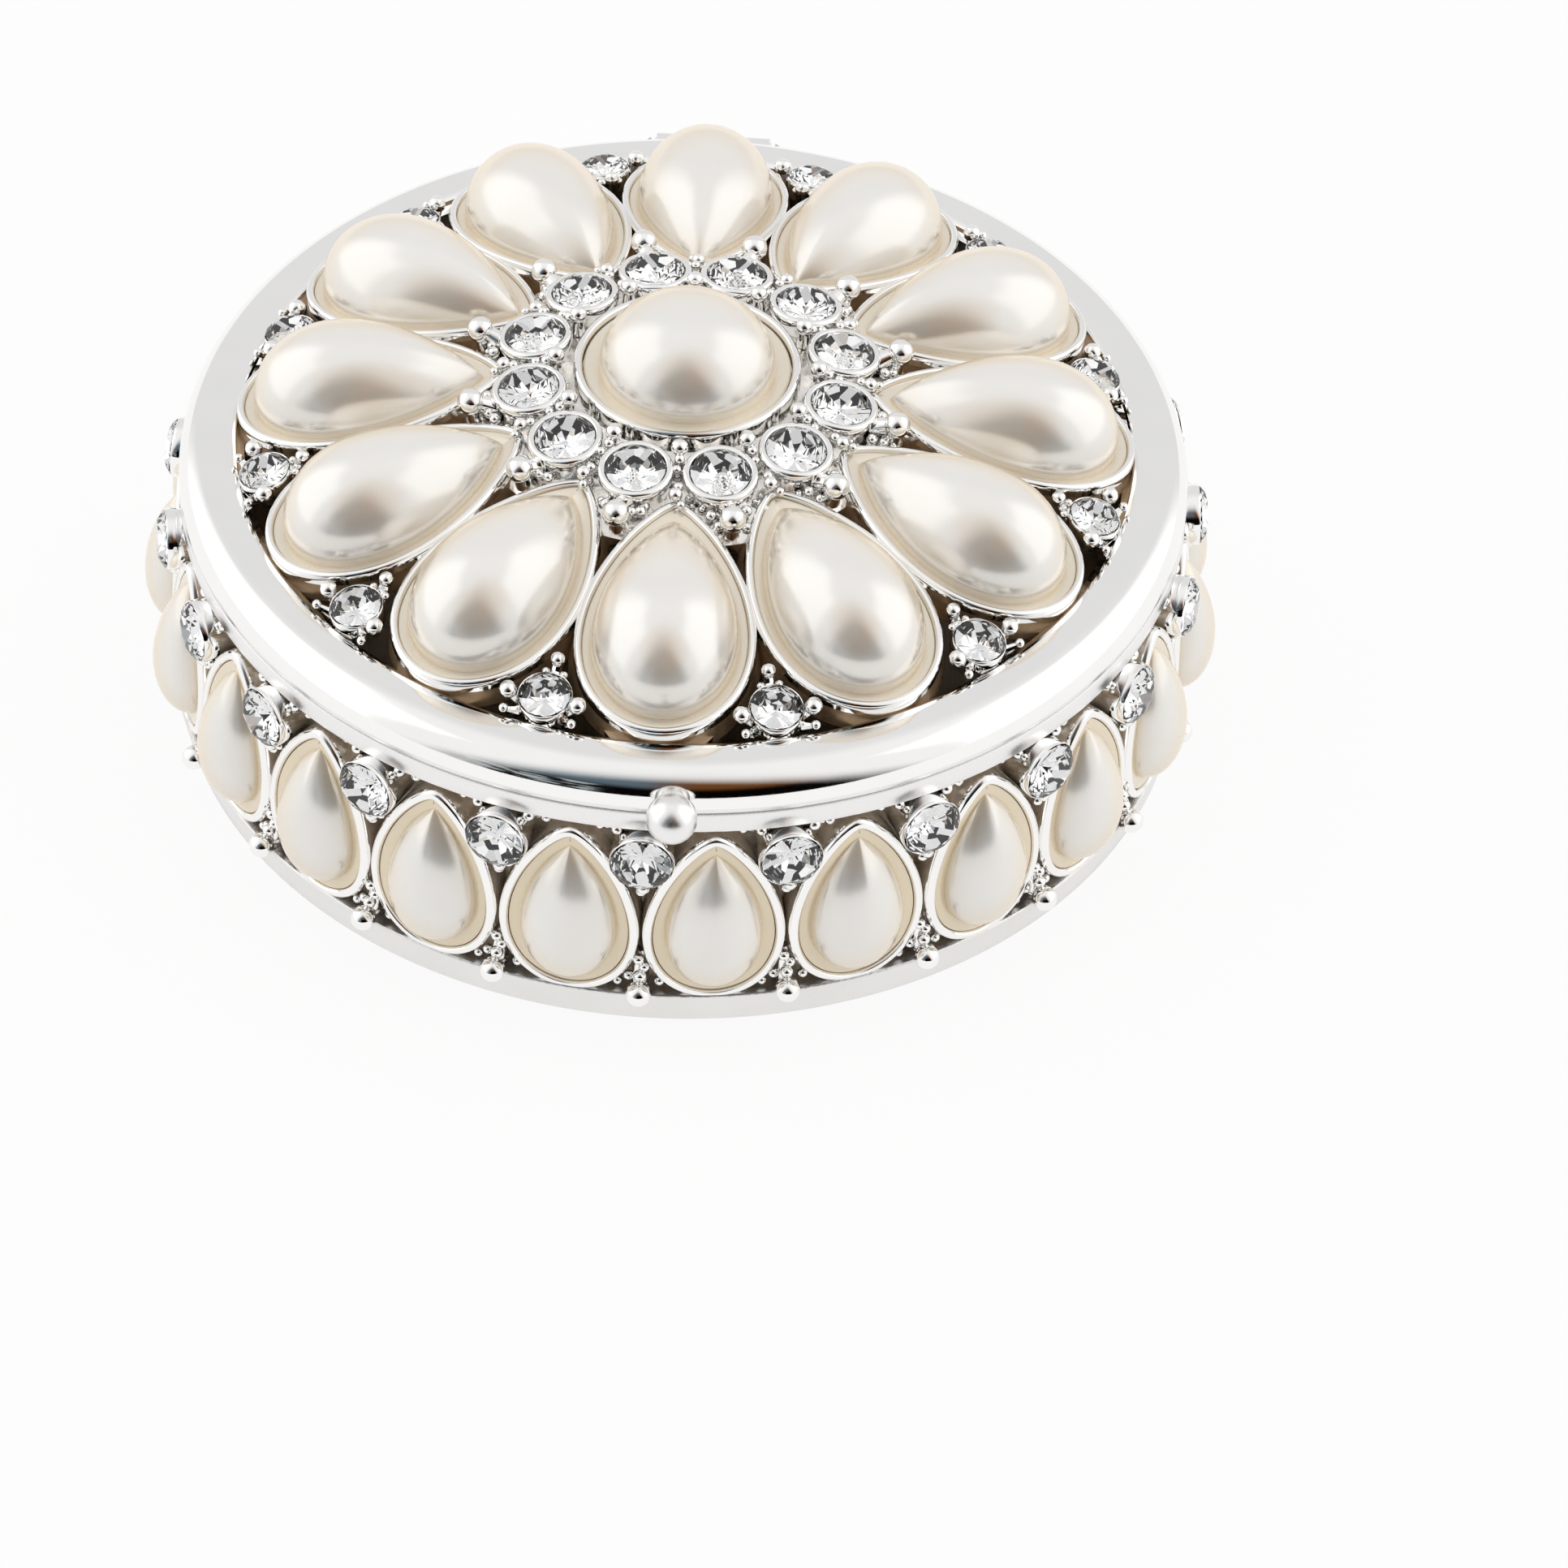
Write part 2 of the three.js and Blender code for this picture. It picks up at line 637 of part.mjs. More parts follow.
// Thumb knob: ball, collar and peg, along its own +Z, with the middle of the ball at 0
function thumbKnob() {
  const ball = toSolid(new THREE.SphereGeometry(knobDiameter / 2, knuckleSides, knuckleSides / 2));
  const collarStart = -knobReach + fitGap;
  const collarEnd = collarStart + knobCollarLength;
  const collar = toSolid(rod(knobCollarDiameter / 2, collarStart, collarEnd, knuckleSides));
  const peg = toSolid(rod(knobPegDiameter / 2, -knobReach - knobPegLength, 0, crystalSides));
  return toGeometry(joined([ball, collar, peg]));
}

// Assembly
const box = new THREE.Group();

function addMesh(name, geometry, material, parent) {
  const mesh = new THREE.Mesh(geometry, material);
  mesh.name = name;
  parent.add(mesh);
  return mesh;
}

function numbered(stem, index) {
  return `${stem}_${String(index + 1).padStart(2, '0')}`;
}

addMesh('body_casting', bodyCasting(), metal(0xd9dadc, 0.14), box);
addMesh('floor_plate', floorPlate(), metal(0xcfc6ba, 0.3), box);
addMesh('lid_casting', lidCasting(), metal(0xdcdddf, 0.1), box);
addMesh('hinge_pin', hingePin(), metal(0xc8cacc, 0.2), box);

addMesh('thumb_knob', thumbKnob(), metal(0xe2e3e5, 0.08), knobSeat.seat);
box.add(knobSeat.spoke);

const centrePearl = addMesh('centre_pearl', centrePearlGeometry(), pearl(), box);
centrePearl.position.z = centreFloor + fitGap;

for (let index = 0; index < lidCount; index += 1) {
  const drop = lidDropSeat(index);
  const geometry = dropPearl(
    lidDropPoints, lidDropLength, lidDropWidth, lidDropSize, lidDropSteps, lidDomeSegments,
  );
  addMesh(numbered('lid_pearl', index), geometry, pearl(), drop.seat).position.z = fitGap - lidCupPocket;
  box.add(drop.spoke);
  const ring = ringCrystalSeat(index);
  const stone = turned(brilliant(ringCrystalDiameter), crystalSides);
  addMesh(numbered('ring_crystal', index), stone, crystal(), ring.seat);
  box.add(ring.spoke);
}

for (let index = 0; index < sideCount; index += 1) {
  const drop = sideDropSeat(index);
  const geometry = dropPearl(
    sideDropPoints, sideDropLength, sideDropWidth, sideDropSize, sideDropSteps, sideDomeSegments,
  );
  addMesh(numbered('side_pearl', index), geometry, pearl(), drop.seat).position.z = fitGap - sideSeatDepth;
  box.add(drop.spoke);
}

const bodyMagnet = rod(bodyMagnetDiameter / 2, bodyMagnetTop - bodyMagnetThickness, bodyMagnetTop, bossSides);
const lidMagnet = rod(lidMagnetDiameter / 2, lidMagnetBottom, lidMagnetBottom + lidMagnetThickness, bossSides);
addMesh('body_magnet', bodyMagnet, metal(0x8f8880, 0.35), magnetSeat.seat);
addMesh('lid_magnet', lidMagnet, metal(0x8f8880, 0.35), magnetSeat.seat);
box.add(magnetSeat.spoke);

export default box;
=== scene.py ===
import math

import bmesh
import bpy
import numpy as np
from mathutils import Matrix, Vector


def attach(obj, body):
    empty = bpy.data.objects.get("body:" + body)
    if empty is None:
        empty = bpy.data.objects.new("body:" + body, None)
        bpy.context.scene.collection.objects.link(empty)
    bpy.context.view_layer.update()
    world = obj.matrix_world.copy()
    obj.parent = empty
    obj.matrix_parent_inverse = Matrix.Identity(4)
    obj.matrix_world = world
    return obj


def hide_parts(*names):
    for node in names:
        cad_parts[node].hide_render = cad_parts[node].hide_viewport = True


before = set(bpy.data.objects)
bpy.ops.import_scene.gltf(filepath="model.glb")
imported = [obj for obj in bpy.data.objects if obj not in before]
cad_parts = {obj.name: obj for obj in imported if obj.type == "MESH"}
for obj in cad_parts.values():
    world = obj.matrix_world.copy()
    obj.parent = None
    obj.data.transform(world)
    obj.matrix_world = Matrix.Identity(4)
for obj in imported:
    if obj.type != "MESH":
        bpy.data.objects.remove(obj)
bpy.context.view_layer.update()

# Table, light tent and camera. The box stands on a matt white board in a white tent. The tent is open at
# the front, where the room behind the camera is dark, and has a large soft box at its left and its right.
MM = 0.001
FRONT = -math.pi / 2


def paint(hex_colour):
    """An sRGB hex colour as linear RGBA."""
    channels = [int(hex_colour[place:place + 2], 16) / 255 for place in (1, 3, 5)]
    linear = [c / 12.92 if c <= 0.04045 else ((c + 0.055) / 1.055) ** 2.4 for c in channels]
    return (*linear, 1.0)


def feed(tree, node, values):
    """Fills a node's inputs, and links those whose value is another node's output."""
    for name, value in values.items():
        if isinstance(value, bpy.types.NodeSocket):
            tree.links.new(value, node.inputs[name])
        else:
            node.inputs[name].default_value = value


def add(tree, kind, values=None, **settings):
    """Adds a node, sets its properties and feeds its inputs."""
    node = tree.nodes.new(kind)
    for name, value in settings.items():
        setattr(node, name, value)
    feed(tree, node, values or {})
    return node


def blank(name):
    """A material with an empty tree but for its shader, and the place on the piece in metres."""
    material = bpy.data.materials.new(name)
    material.use_nodes = True
    tree = material.node_tree
    tree.nodes.clear()
    shader = add(tree, "ShaderNodeBsdfPrincipled")
    add(tree, "ShaderNodeOutputMaterial", {"Surface": shader.outputs[0]})
    place = add(tree, "ShaderNodeTexCoord").outputs["Object"]
    return material, tree, shader, place


scene = bpy.context.scene
scene.view_settings.view_transform = "Standard"

world = bpy.data.worlds.new("light_tent")
scene.world = world
world.use_nodes = True
tent = world.node_tree
tent.nodes.clear()
outlook = add(tent, "ShaderNodeTexCoord").outputs["Generated"]
way = add(tent, "ShaderNodeSeparateXYZ", {0: outlook}).outputs
forward = add(tent, "ShaderNodeMath", {0: way["Y"], 1: -1.0}, operation="MULTIPLY").outputs[0]
turn = add(tent, "ShaderNodeMath", {0: way["X"], 1: forward}, operation="ARCTAN2").outputs[0]
aside = add(tent, "ShaderNodeMath", {0: turn}, operation="ABSOLUTE").outputs[0]
rise = add(tent, "ShaderNodeMath", {0: way["Z"]}, operation="ARCSINE").outputs[0]
# The opening is an oval that narrows upwards. Its reach aside and up is given as shares of the tent's radius.
OPENING_SHARES = (0.76, 0.92)
NARROWING_SHARE = 0.4
taper = add(tent, "ShaderNodeMath", {0: way["Z"], 1: NARROWING_SHARE, 2: 1.0}, operation="MULTIPLY_ADD")
taper = add(tent, "ShaderNodeMath", {0: way["X"], 1: taper.outputs[0]}, operation="MULTIPLY").outputs[0]
oval = add(tent, "ShaderNodeCombineXYZ", {"X": taper, "Z": way["Z"]}).outputs[0]
oval = add(tent, "ShaderNodeVectorMath", {
    0: oval, 1: (1 / OPENING_SHARES[0], 0, 1 / OPENING_SHARES[1]),
}, operation="MULTIPLY").outputs[0]
oval = add(tent, "ShaderNodeVectorMath", {0: oval}, operation="LENGTH").outputs["Value"]
# Soft blotches, about a tenth of the tent's radius across, for what stands in the room
blur = add(tent, "ShaderNodeTexNoise", {"Vector": outlook, "Scale": 11.0, "Detail": 3.0}).outputs[0]
# Each mask follows a value from a start to an end, and goes softly from a first to a last share
masks = {}
for name, value, start, end, first, last in (
    ("front", forward, -0.1, 0.1, 0.0, 1.0),
    ("oval", oval, 0.76, 1.12, 1.0, 0.0),
    ("back", forward, -0.15, -0.7, 0.0, 1.0),
    ("box_inner", aside, math.radians(58), math.radians(70), 0.0, 1.0),
    ("box_outer", aside, math.radians(120), math.radians(140), 1.0, 0.0),
    ("box_top", rise, math.radians(52), math.radians(66), 1.0, 0.0),
    ("right", turn, math.radians(-8), math.radians(8), 0.0, 1.0),
    ("high", rise, math.radians(20), math.radians(38), 0.0, 1.0),
    ("stand_side", turn, math.radians(-12), math.radians(-16), 0.0, 1.0),
    ("stand_top", rise, math.radians(24), math.radians(30), 1.0, 0.0),
    ("stand_blur", blur, 0.48, 0.6, 0.0, 1.0),
):
    masks[name] = add(tent, "ShaderNodeMapRange", {
        "Value": value, "From Min": start, "From Max": end, "To Min": first, "To Max": last,
    }, interpolation_type="SMOOTHSTEP").outputs[0]
for name, *parts in (
    ("opening", "front", "oval"),
    ("soft_box", "box_inner", "box_outer", "box_top"),
    ("stands", "stand_side", "stand_top", "stand_blur"),
):
    masks[name] = masks[parts[0]]
    for part in parts[1:]:
        both = {0: masks[name], 1: masks[part]}
        masks[name] = add(tent, "ShaderNodeMath", both, operation="MULTIPLY").outputs[0]

CLOTH_ABOVE = (0.93, 0.93, 0.93, 1)
CLOTH_BEHIND = (0.78, 0.78, 0.79, 1)
SOFT_BOX = (1.35, 1.35, 1.35, 1)
WHITE = (1, 1, 1, 1)
cloth = add(tent, "ShaderNodeMix", {0: masks["back"], 6: CLOTH_ABOVE, 7: CLOTH_BEHIND}, data_type="RGBA")
cloth = add(tent, "ShaderNodeMix", {0: masks["soft_box"], 6: cloth.outputs[2], 7: SOFT_BOX}, data_type="RGBA")
# The room is cool at the left and warm at the right, darkest below, with blurred pale stands at the left
room = add(tent, "ShaderNodeMix", {
    0: masks["right"], 6: paint("#586873"), 7: paint("#6A4120"),
}, data_type="RGBA")
room = add(tent, "ShaderNodeMix", {
    0: masks["high"], 6: paint("#070504"), 7: room.outputs[2],
}, data_type="RGBA")
room = add(tent, "ShaderNodeMix", {
    0: masks["stands"], 6: room.outputs[2], 7: paint("#A3ABB0"),
}, data_type="RGBA")
lit = add(tent, "ShaderNodeMix", {
    0: masks["opening"], 6: cloth.outputs[2], 7: room.outputs[2],
}, data_type="RGBA")
shown = add(tent, "ShaderNodeLightPath").outputs["Is Camera Ray"]
lit = add(tent, "ShaderNodeMix", {0: shown, 6: lit.outputs[2], 7: WHITE}, data_type="RGBA")
sky = add(tent, "ShaderNodeBackground", {"Color": lit.outputs[2], "Strength": 1.0})
add(tent, "ShaderNodeOutputWorld", {"Surface": sky.outputs[0]})

board, tree, shader, place = blank("matt_white_painted_board")
# Faint mottling of a rolled coat of paint, about 8 mm across
mottle = add(tree, "ShaderNodeTexNoise", {"Vector": place, "Scale": 1 / (8 * MM), "Detail": 2.0})
coat = add(tree, "ShaderNodeMix", {
    0: mottle.outputs[0], 6: paint("#F4F4F3"), 7: paint("#F9F9F8"),
}, data_type="RGBA")
feed(tree, shader, {"Base Color": coat.outputs[2], "Roughness": 0.7})
# To the camera and to mirrors and glass the board is mostly plain white, so its shadows are faint
CAMERA_WHITE = 0.9
MIRROR_WHITE = 0.88
path = add(tree, "ShaderNodeLightPath").outputs
mirrored = add(tree, "ShaderNodeMath", {
    0: path["Is Glossy Ray"], 1: path["Is Transmission Ray"],
}, operation="MAXIMUM")
mirrored = add(tree, "ShaderNodeMath", {0: mirrored.outputs[0], 1: MIRROR_WHITE}, operation="MULTIPLY")
white_share = add(tree, "ShaderNodeMath", {
    0: path["Is Camera Ray"], 1: CAMERA_WHITE, 2: mirrored.outputs[0],
}, operation="MULTIPLY_ADD")
white = add(tree, "ShaderNodeEmission", {"Color": WHITE, "Strength": 1.0})
seen = add(tree, "ShaderNodeMixShader", {
    0: white_share.outputs[0], 1: shader.outputs[0], 2: white.outputs[0],
})
feed(tree, tree.nodes["Material Output"], {"Surface": seen.outputs[0]})

TABLE_HALF = 5000 * MM
TABLE_GAP = 0.01 * MM
table_mesh = bpy.data.meshes.new("table")
table_corners = [
    (x * TABLE_HALF, y * TABLE_HALF, -TABLE_GAP) for x, y in ((-1, -1), (1, -1), (1, 1), (-1, 1))
]
table_mesh.from_pydata(table_corners, [], [(0, 1, 2, 3)])
table_mesh.materials.append(board)
table = bpy.data.objects.new("table", table_mesh)
scene.collection.objects.link(table)

SENSOR_WIDTH = 36
FOCAL_LENGTH = 124.749
CAMERA_PLACE = Vector((11.816, -287.308, 264.662))
CAMERA_RIGHT = Vector((0.998414, 0.045481, 0.033197))
CAMERA_UPWARD = Vector((-0.055452, 0.691776, 0.719980))
camera_data = bpy.data.cameras.new("camera")
camera_data.sensor_width = SENSOR_WIDTH
camera_data.lens = FOCAL_LENGTH
camera_data.clip_start = 10 * MM
camera = bpy.data.objects.new("camera", camera_data)
camera_turn = Matrix((CAMERA_RIGHT, CAMERA_UPWARD, CAMERA_RIGHT.cross(CAMERA_UPWARD))).transposed()
camera.matrix_world = Matrix.Translation(CAMERA_PLACE * MM) @ camera_turn.to_4x4()
scene.collection.objects.link(camera)
scene.camera = camera

# Lid rim: cast pewter, a smooth band that rolls over to a flat crown, ground flat where it meets the body.
# Polished and silver-plated after casting, so it mirrors the tent with only a slight ripple.
SEAM_RADIUS = 34.979
LID_BOTTOM = 18.66
CROWN_TOP = 21.386
CROWN_ROLL = 2.3
RIM_INNER = 30.42
RIM_EDGE = 0.14
RIM_EDGE_CUT = 0.04
RIM_STEPS = 288

bright, tree, shader, place = blank("silver_plate_bright_polished")
# A plated casting keeps soft ripples about 4 mm long, and hairlines from the buff about 0.3 mm apart
ripple = add(tree, "ShaderNodeTexNoise", {"Vector": place, "Scale": 1 / (4 * MM), "Detail": 1.0})
hairline = add(tree, "ShaderNodeTexNoise", {"Vector": place, "Scale": 1 / (0.3 * MM), "Detail": 3.0})
relief = add(tree, "ShaderNodeMath", {
    0: hairline.outputs[0], 1: 0.06, 2: ripple.outputs[0],
}, operation="MULTIPLY_ADD")
bump = add(tree, "ShaderNodeBump", {"Height": relief.outputs[0], "Strength": 0.35, "Distance": 0.05 * MM})
tone = add(tree, "ShaderNodeMix", {
    0: ripple.outputs[0], 6: paint("#F6F5F3"), 7: paint("#FBFAF8"),
}, data_type="RGBA")
gloss = add(tree, "ShaderNodeMapRange", {"Value": hairline.outputs[0], "To Min": 0.04, "To Max": 0.10})
feed(tree, shader, {
    "Base Color": tone.outputs[2], "Roughness": gloss.outputs[0], "Normal": bump.outputs[0], "Metallic": 1.0,
})

satin, tree, shader, place = blank("silver_plate_satin_band")
# The upright bands are rubbed with a fine pad, which leaves a faint grain about 0.2 mm across
grain = add(tree, "ShaderNodeTexNoise", {"Vector": place, "Scale": 1 / (0.2 * MM), "Detail": 3.0})
tone = add(tree, "ShaderNodeMix", {
    0: grain.outputs[0], 6: paint("#EFEEED"), 7: paint("#F8F7F6"),
}, data_type="RGBA")
gloss = add(tree, "ShaderNodeMapRange", {"Value": grain.outputs[0], "To Min": 0.22, "To Max": 0.36})
feed(tree, shader, {"Base Color": tone.outputs[2], "Roughness": gloss.outputs[0], "Metallic": 1.0})


def quarter(middle, reach, steps):
    """Points of a quarter of an ellipse, from its outer end up to its top."""
    turns = [math.pi / 2 * step / steps for step in range(steps + 1)]
    return [(middle[0] + reach[0] * math.cos(turn), middle[1] + reach[1] * math.sin(turn)) for turn in turns]


def strip(here, there, count):
    """Faces between two closed rings of points, each given by its first point."""
    ahead = [(k + 1) % count for k in range(count)]
    return [(here + k, here + ahead[k], there + ahead[k], there + k) for k in range(count)]


def turned(profile, steps):
    """Points and faces of a profile of (radius, height) pairs, turned about the Z axis."""
    angles = 2 * np.pi * np.arange(steps) / steps
    rings = [np.stack([r * np.cos(angles), r * np.sin(angles), np.full(steps, z)], 1) for r, z in profile]
    faces = []
    for ring in range(len(profile) - 1):
        faces += strip(ring * steps, (ring + 1) * steps, steps)
    return np.concatenate(rings), faces


def seated(part, angle, radius, height, tip):
    """A part moved to a seat: tipped outwards, then out and up, then round the axis."""
    turn, tilt = Matrix.Rotation(angle, 3, "Z"), Matrix.Rotation(tip, 3, "Y")
    points = part[0] @ np.array(tilt).T + np.array([radius, 0, height])
    return points @ np.array(turn).T, part[1]


def make(name, parts, finishes, crease=38, weld=0.0005 * MM):
    """A piece from parts, each with the number of its finish. Welds doubles and turns faces outwards."""
    points, faces, marks, count = [], [], [], 0
    for (part_points, part_faces), mark in parts:
        points.append(part_points)
        faces += [tuple(corner + count for corner in face) for face in part_faces]
        marks += [mark] * len(part_faces)
        count += len(part_points)
    mesh = bpy.data.meshes.new(name)
    mesh.from_pydata((np.concatenate(points) * MM).tolist(), [], faces)
    for finish in finishes:
        mesh.materials.append(finish)
    mesh.polygons.foreach_set("material_index", marks)
    mesh.polygons.foreach_set("use_smooth", [True] * len(faces))
    shape = bmesh.new()
    shape.from_mesh(mesh)
    bmesh.ops.remove_doubles(shape, verts=shape.verts, dist=weld)
    bmesh.ops.recalc_face_normals(shape, faces=shape.faces)
    shape.to_mesh(mesh)
    shape.free()
    mesh.set_sharp_from_angle(angle=math.radians(crease))
    piece = bpy.data.objects.new(name, mesh)
    scene.collection.objects.link(piece)
    return piece


band = [(RIM_INNER, LID_BOTTOM), (SEAM_RADIUS - RIM_EDGE, LID_BOTTOM)]
band += [(SEAM_RADIUS - RIM_EDGE_CUT, LID_BOTTOM + RIM_EDGE_CUT), (SEAM_RADIUS, LID_BOTTOM + RIM_EDGE)]
band += [(SEAM_RADIUS, CROWN_TOP - CROWN_ROLL)]
crown = quarter((SEAM_RADIUS - CROWN_ROLL, CROWN_TOP - CROWN_ROLL), (CROWN_ROLL, CROWN_ROLL), 16)
crown += [(31.6, 21.378), (31.2, 21.33), (30.99, 21.2), (30.9, 20.9), (RIM_INNER, 20.6), band[0]]
lid_rim = make("lid_rim", [(turned(band, RIM_STEPS), 1), (turned(crown, RIM_STEPS), 0)], [bright, satin])
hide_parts("lid_casting")
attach(lid_rim, "lid")

# Bezels of the lid's 12 half drops: thin cast walls that follow the pearls' outline, closed underneath,
# fused to the rim at the round end and to the middle at the tip. Their lips are rounded and bright.
LID_COUNT = 12
LID_STEP = 2 * math.pi / LID_COUNT
LID_SLOPE = math.radians(12)
LID_SEAT = (21.8607, 24.2068, LID_SLOPE)
LID_DROP = (17.3, 10.4)
FULLNESS = 0.6
WIDEST = math.acos(-FULLNESS / (2 + FULLNESS))
PEAK = math.sin(WIDEST) * math.sin(WIDEST / 2) ** FULLNESS


def shaded_raw_plate(name, dark, pale):
    """Plate on a raw casting, painted between two colours as shade in the hollows it lines."""
    material, tree, shader, place = blank(name)
    # The skin of the casting has low swells about 1.2 mm across
    swell = add(tree, "ShaderNodeTexNoise", {"Vector": place, "Scale": 1 / (1.2 * MM), "Detail": 2.0})
    tone = add(tree, "ShaderNodeMix", {0: swell.outputs[0], 6: paint(dark), 7: paint(pale)}, data_type="RGBA")
    gloss = add(tree, "ShaderNodeMapRange", {"Value": swell.outputs[0], "To Min": 0.2, "To Max": 0.42})
    bump = add(tree, "ShaderNodeBump", {"Height": swell.outputs[0], "Strength": 0.5, "Distance": 0.12 * MM})
    feed(tree, shader, {
        "Base Color": tone.outputs[2], "Roughness": gloss.outputs[0], "Normal": bump.outputs[0],
        "Metallic": 0.55,
    })
    return material


# No buff reaches the walls of the gaps, and the casting is left raw there. They are painted dark brown,
# painted shade for the narrow gaps between the bezels.
gap_wall_shade = shaded_raw_plate("cast_gap_walls_painted_shade", "#82664A", "#C0A482")


def half_width(width, turn):
    """Half the width of a drop, by the turn from 0 at its tip to pi at its round end."""
    return width / 2 * math.sin(turn) * abs(math.sin(turn / 2)) ** FULLNESS / PEAK


def drop_edge(length, width, steps=92, tip_steps=7, nudge=0.004):
    """Places on a drop's outline with the way outwards at each, and a fan of ways at the tip, at -X."""
    edge = []
    for step in range(1, steps):
        turn = 2 * math.pi * step / steps
        before, after = turn - nudge, turn + nudge
        along = -length / 2 * (math.cos(after) - math.cos(before))
        across = half_width(width, before) - half_width(width, after)
        size = math.hypot(along, across)
        edge.append((-length / 2 * math.cos(turn), -half_width(width, turn), across / size, -along / size))
    first = math.atan2(edge[0][3], edge[0][2]) % (2 * math.pi)
    last = math.atan2(edge[-1][3], edge[-1][2]) % (2 * math.pi)
    for step in range(tip_steps):
        angle = last + (first - last) * (step + 0.5) / tip_steps
        edge.append((-length / 2, 0.0, math.cos(angle), math.sin(angle)))
    return edge


def swept(edge, profile):
    """A profile of (way out, height) pairs carried round an edge, with both of its ends closed."""
    count = len(edge)
    points = [(x + out * nx, y + out * ny, z) for out, z in profile for x, y, nx, ny in edge]
    faces = []
    for ring in range(len(profile) - 1):
        faces += strip(ring * count, (ring + 1) * count, count)
    middle = sum(x for x, _, _, _ in edge) / count
    for ring in (0, len(profile) - 1):
        points.append((middle, 0.0, profile[ring][1]))
        faces += [(ring * count + k, ring * count + (k + 1) % count, len(points) - 1) for k in range(count)]
    return np.array(points), faces


def new_tree(name, inputs):
    """A Geometry Nodes tree with the inputs named, each with its kind, and the sockets that give them."""
    tree = bpy.data.node_groups.new(name, "GeometryNodeTree")
    tree.interface.new_socket("Geometry", in_out="INPUT", socket_type="NodeSocketGeometry")
    for title, kind in inputs.items():
        tree.interface.new_socket(title, in_out="INPUT", socket_type="NodeSocket" + kind)
    tree.interface.new_socket("Geometry", in_out="OUTPUT", socket_type="NodeSocketGeometry")
    return tree, add(tree, "NodeGroupInput").outputs


# The tree that repeats one seat's work round the axis. Sizes are in metres and radians.
setting, given = new_tree("set_round_the_axis", {
    "Count": "Int", "Radius": "Float", "Height": "Float", "Tip": "Float", "Start": "Float",
    "Finish": "Material", "Backing": "Material",
})
tipped = add(setting, "ShaderNodeCombineXYZ", {"Y": given["Tip"]})
shifted = add(setting, "ShaderNodeCombineXYZ", {"X": given["Radius"], "Z": given["Height"]})
one = add(setting, "GeometryNodeTransform", {
    "Geometry": given["Geometry"], "Translation": shifted.outputs[0], "Rotation": tipped.outputs[0],
})
spots = add(setting, "GeometryNodePoints", {"Count": given["Count"]})
step_angle = add(setting, "ShaderNodeMath", {0: 2 * math.pi, 1: given["Count"]}, operation="DIVIDE")
spoke = add(setting, "ShaderNodeMath", {
    0: add(setting, "GeometryNodeInputIndex").outputs[0], 1: step_angle.outputs[0], 2: given["Start"],
}, operation="MULTIPLY_ADD")
spoke = add(setting, "ShaderNodeCombineXYZ", {"Z": spoke.outputs[0]})
copies = add(setting, "GeometryNodeInstanceOnPoints", {
    "Points": spots.outputs[0], "Instance": one.outputs[0], "Rotation": spoke.outputs[0],
})
real = add(setting, "GeometryNodeRealizeInstances", {0: copies.outputs[0]})
finished = add(setting, "GeometryNodeSetMaterial", {"Geometry": real.outputs[0], "Material": given["Finish"]})
is_backing = add(setting, "GeometryNodeInputNamedAttribute", {"Name": "backing"}, data_type="BOOLEAN")
finished = add(setting, "GeometryNodeSetMaterial", {
    "Geometry": finished.outputs[0], "Selection": is_backing.outputs[0], "Material": given["Backing"],
})
add(setting, "NodeGroupOutput", {0: finished.outputs[0]})


def settle(piece, tree, values):
    """Runs a tree on a piece, with its named inputs set, and leaves one plain mesh."""
    modifier = piece.modifiers.new(tree.name, "NODES")
    modifier.node_group = tree
    for name, value in values.items():
        modifier[tree.interface.items_tree[name].identifier] = value
    bpy.context.view_layer.update()
    graph = bpy.context.evaluated_depsgraph_get()
    result = piece.evaluated_get(graph)
    mesh = bpy.data.meshes.new_from_object(result, preserve_all_data_layers=True, depsgraph=graph)
    piece.modifiers.clear()
    piece.data = mesh


def set_round(piece, count, radius, height, tip, start, finish, backing=None):
    """Repeats a piece, made in its seat's own frame, round the axis."""
    settle(piece, setting, {
        "Count": count, "Radius": radius * MM, "Height": height * MM, "Tip": tip, "Start": start,
        "Finish": finish, "Backing": backing or finish,
    })


def mark_faces(piece, marked):
    """Marks the faces that take the second finish, by a yes or no for each face."""
    piece.data.attributes.new("backing", "BOOLEAN", "FACE").data.foreach_set("value", marked)


def mark_shaded_low_walls(piece, top, flattest=0.7):
    """Marks the upright faces below a height in the seat's frame, deep in the gaps, for painted shade."""
    faces = piece.data.polygons
    mark_faces(piece, [face.center.z < top * MM and abs(face.normal.z) < flattest for face in faces])


lid_lip = [
    (0.3, -1.2), (0.3, -0.24), (0.34, -0.09), (0.43, -0.01), (0.54, 0.0), (0.66, -0.03), (0.76, -0.11),
    (0.83, -0.25), (0.86, -0.5), (0.88, -0.85), (1.0, -1.4), (1.2, -2.1), (1.1, -2.2),
]
lid_bezels = make("lid_bezels", [(swept(drop_edge(*LID_DROP), lid_lip), 0)], [bright])
# The low walls of the lid's bezels take the dark brown painted shade of the gaps.
mark_shaded_low_walls(lid_bezels, -0.8)
set_round(lid_bezels, LID_COUNT, *LID_SEAT, FRONT, bright, gap_wall_shade)
# The floors of the bezels show from inside the box. They are rubbed with the pad as well.
bezel_floor = [(0.6, -2.0), (1.14, -2.0), (1.16, -2.16), (1.1, -2.24), (0.6, -2.25)]
bezel_floors = make("lid_bezel_floors", [(swept(drop_edge(*LID_DROP, 60), bezel_floor), 0)], [satin])
set_round(bezel_floors, LID_COUNT, *LID_SEAT, FRONT, satin)
for piece in (lid_bezels, bezel_floors):
    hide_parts("lid_casting")
    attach(piece, "lid")

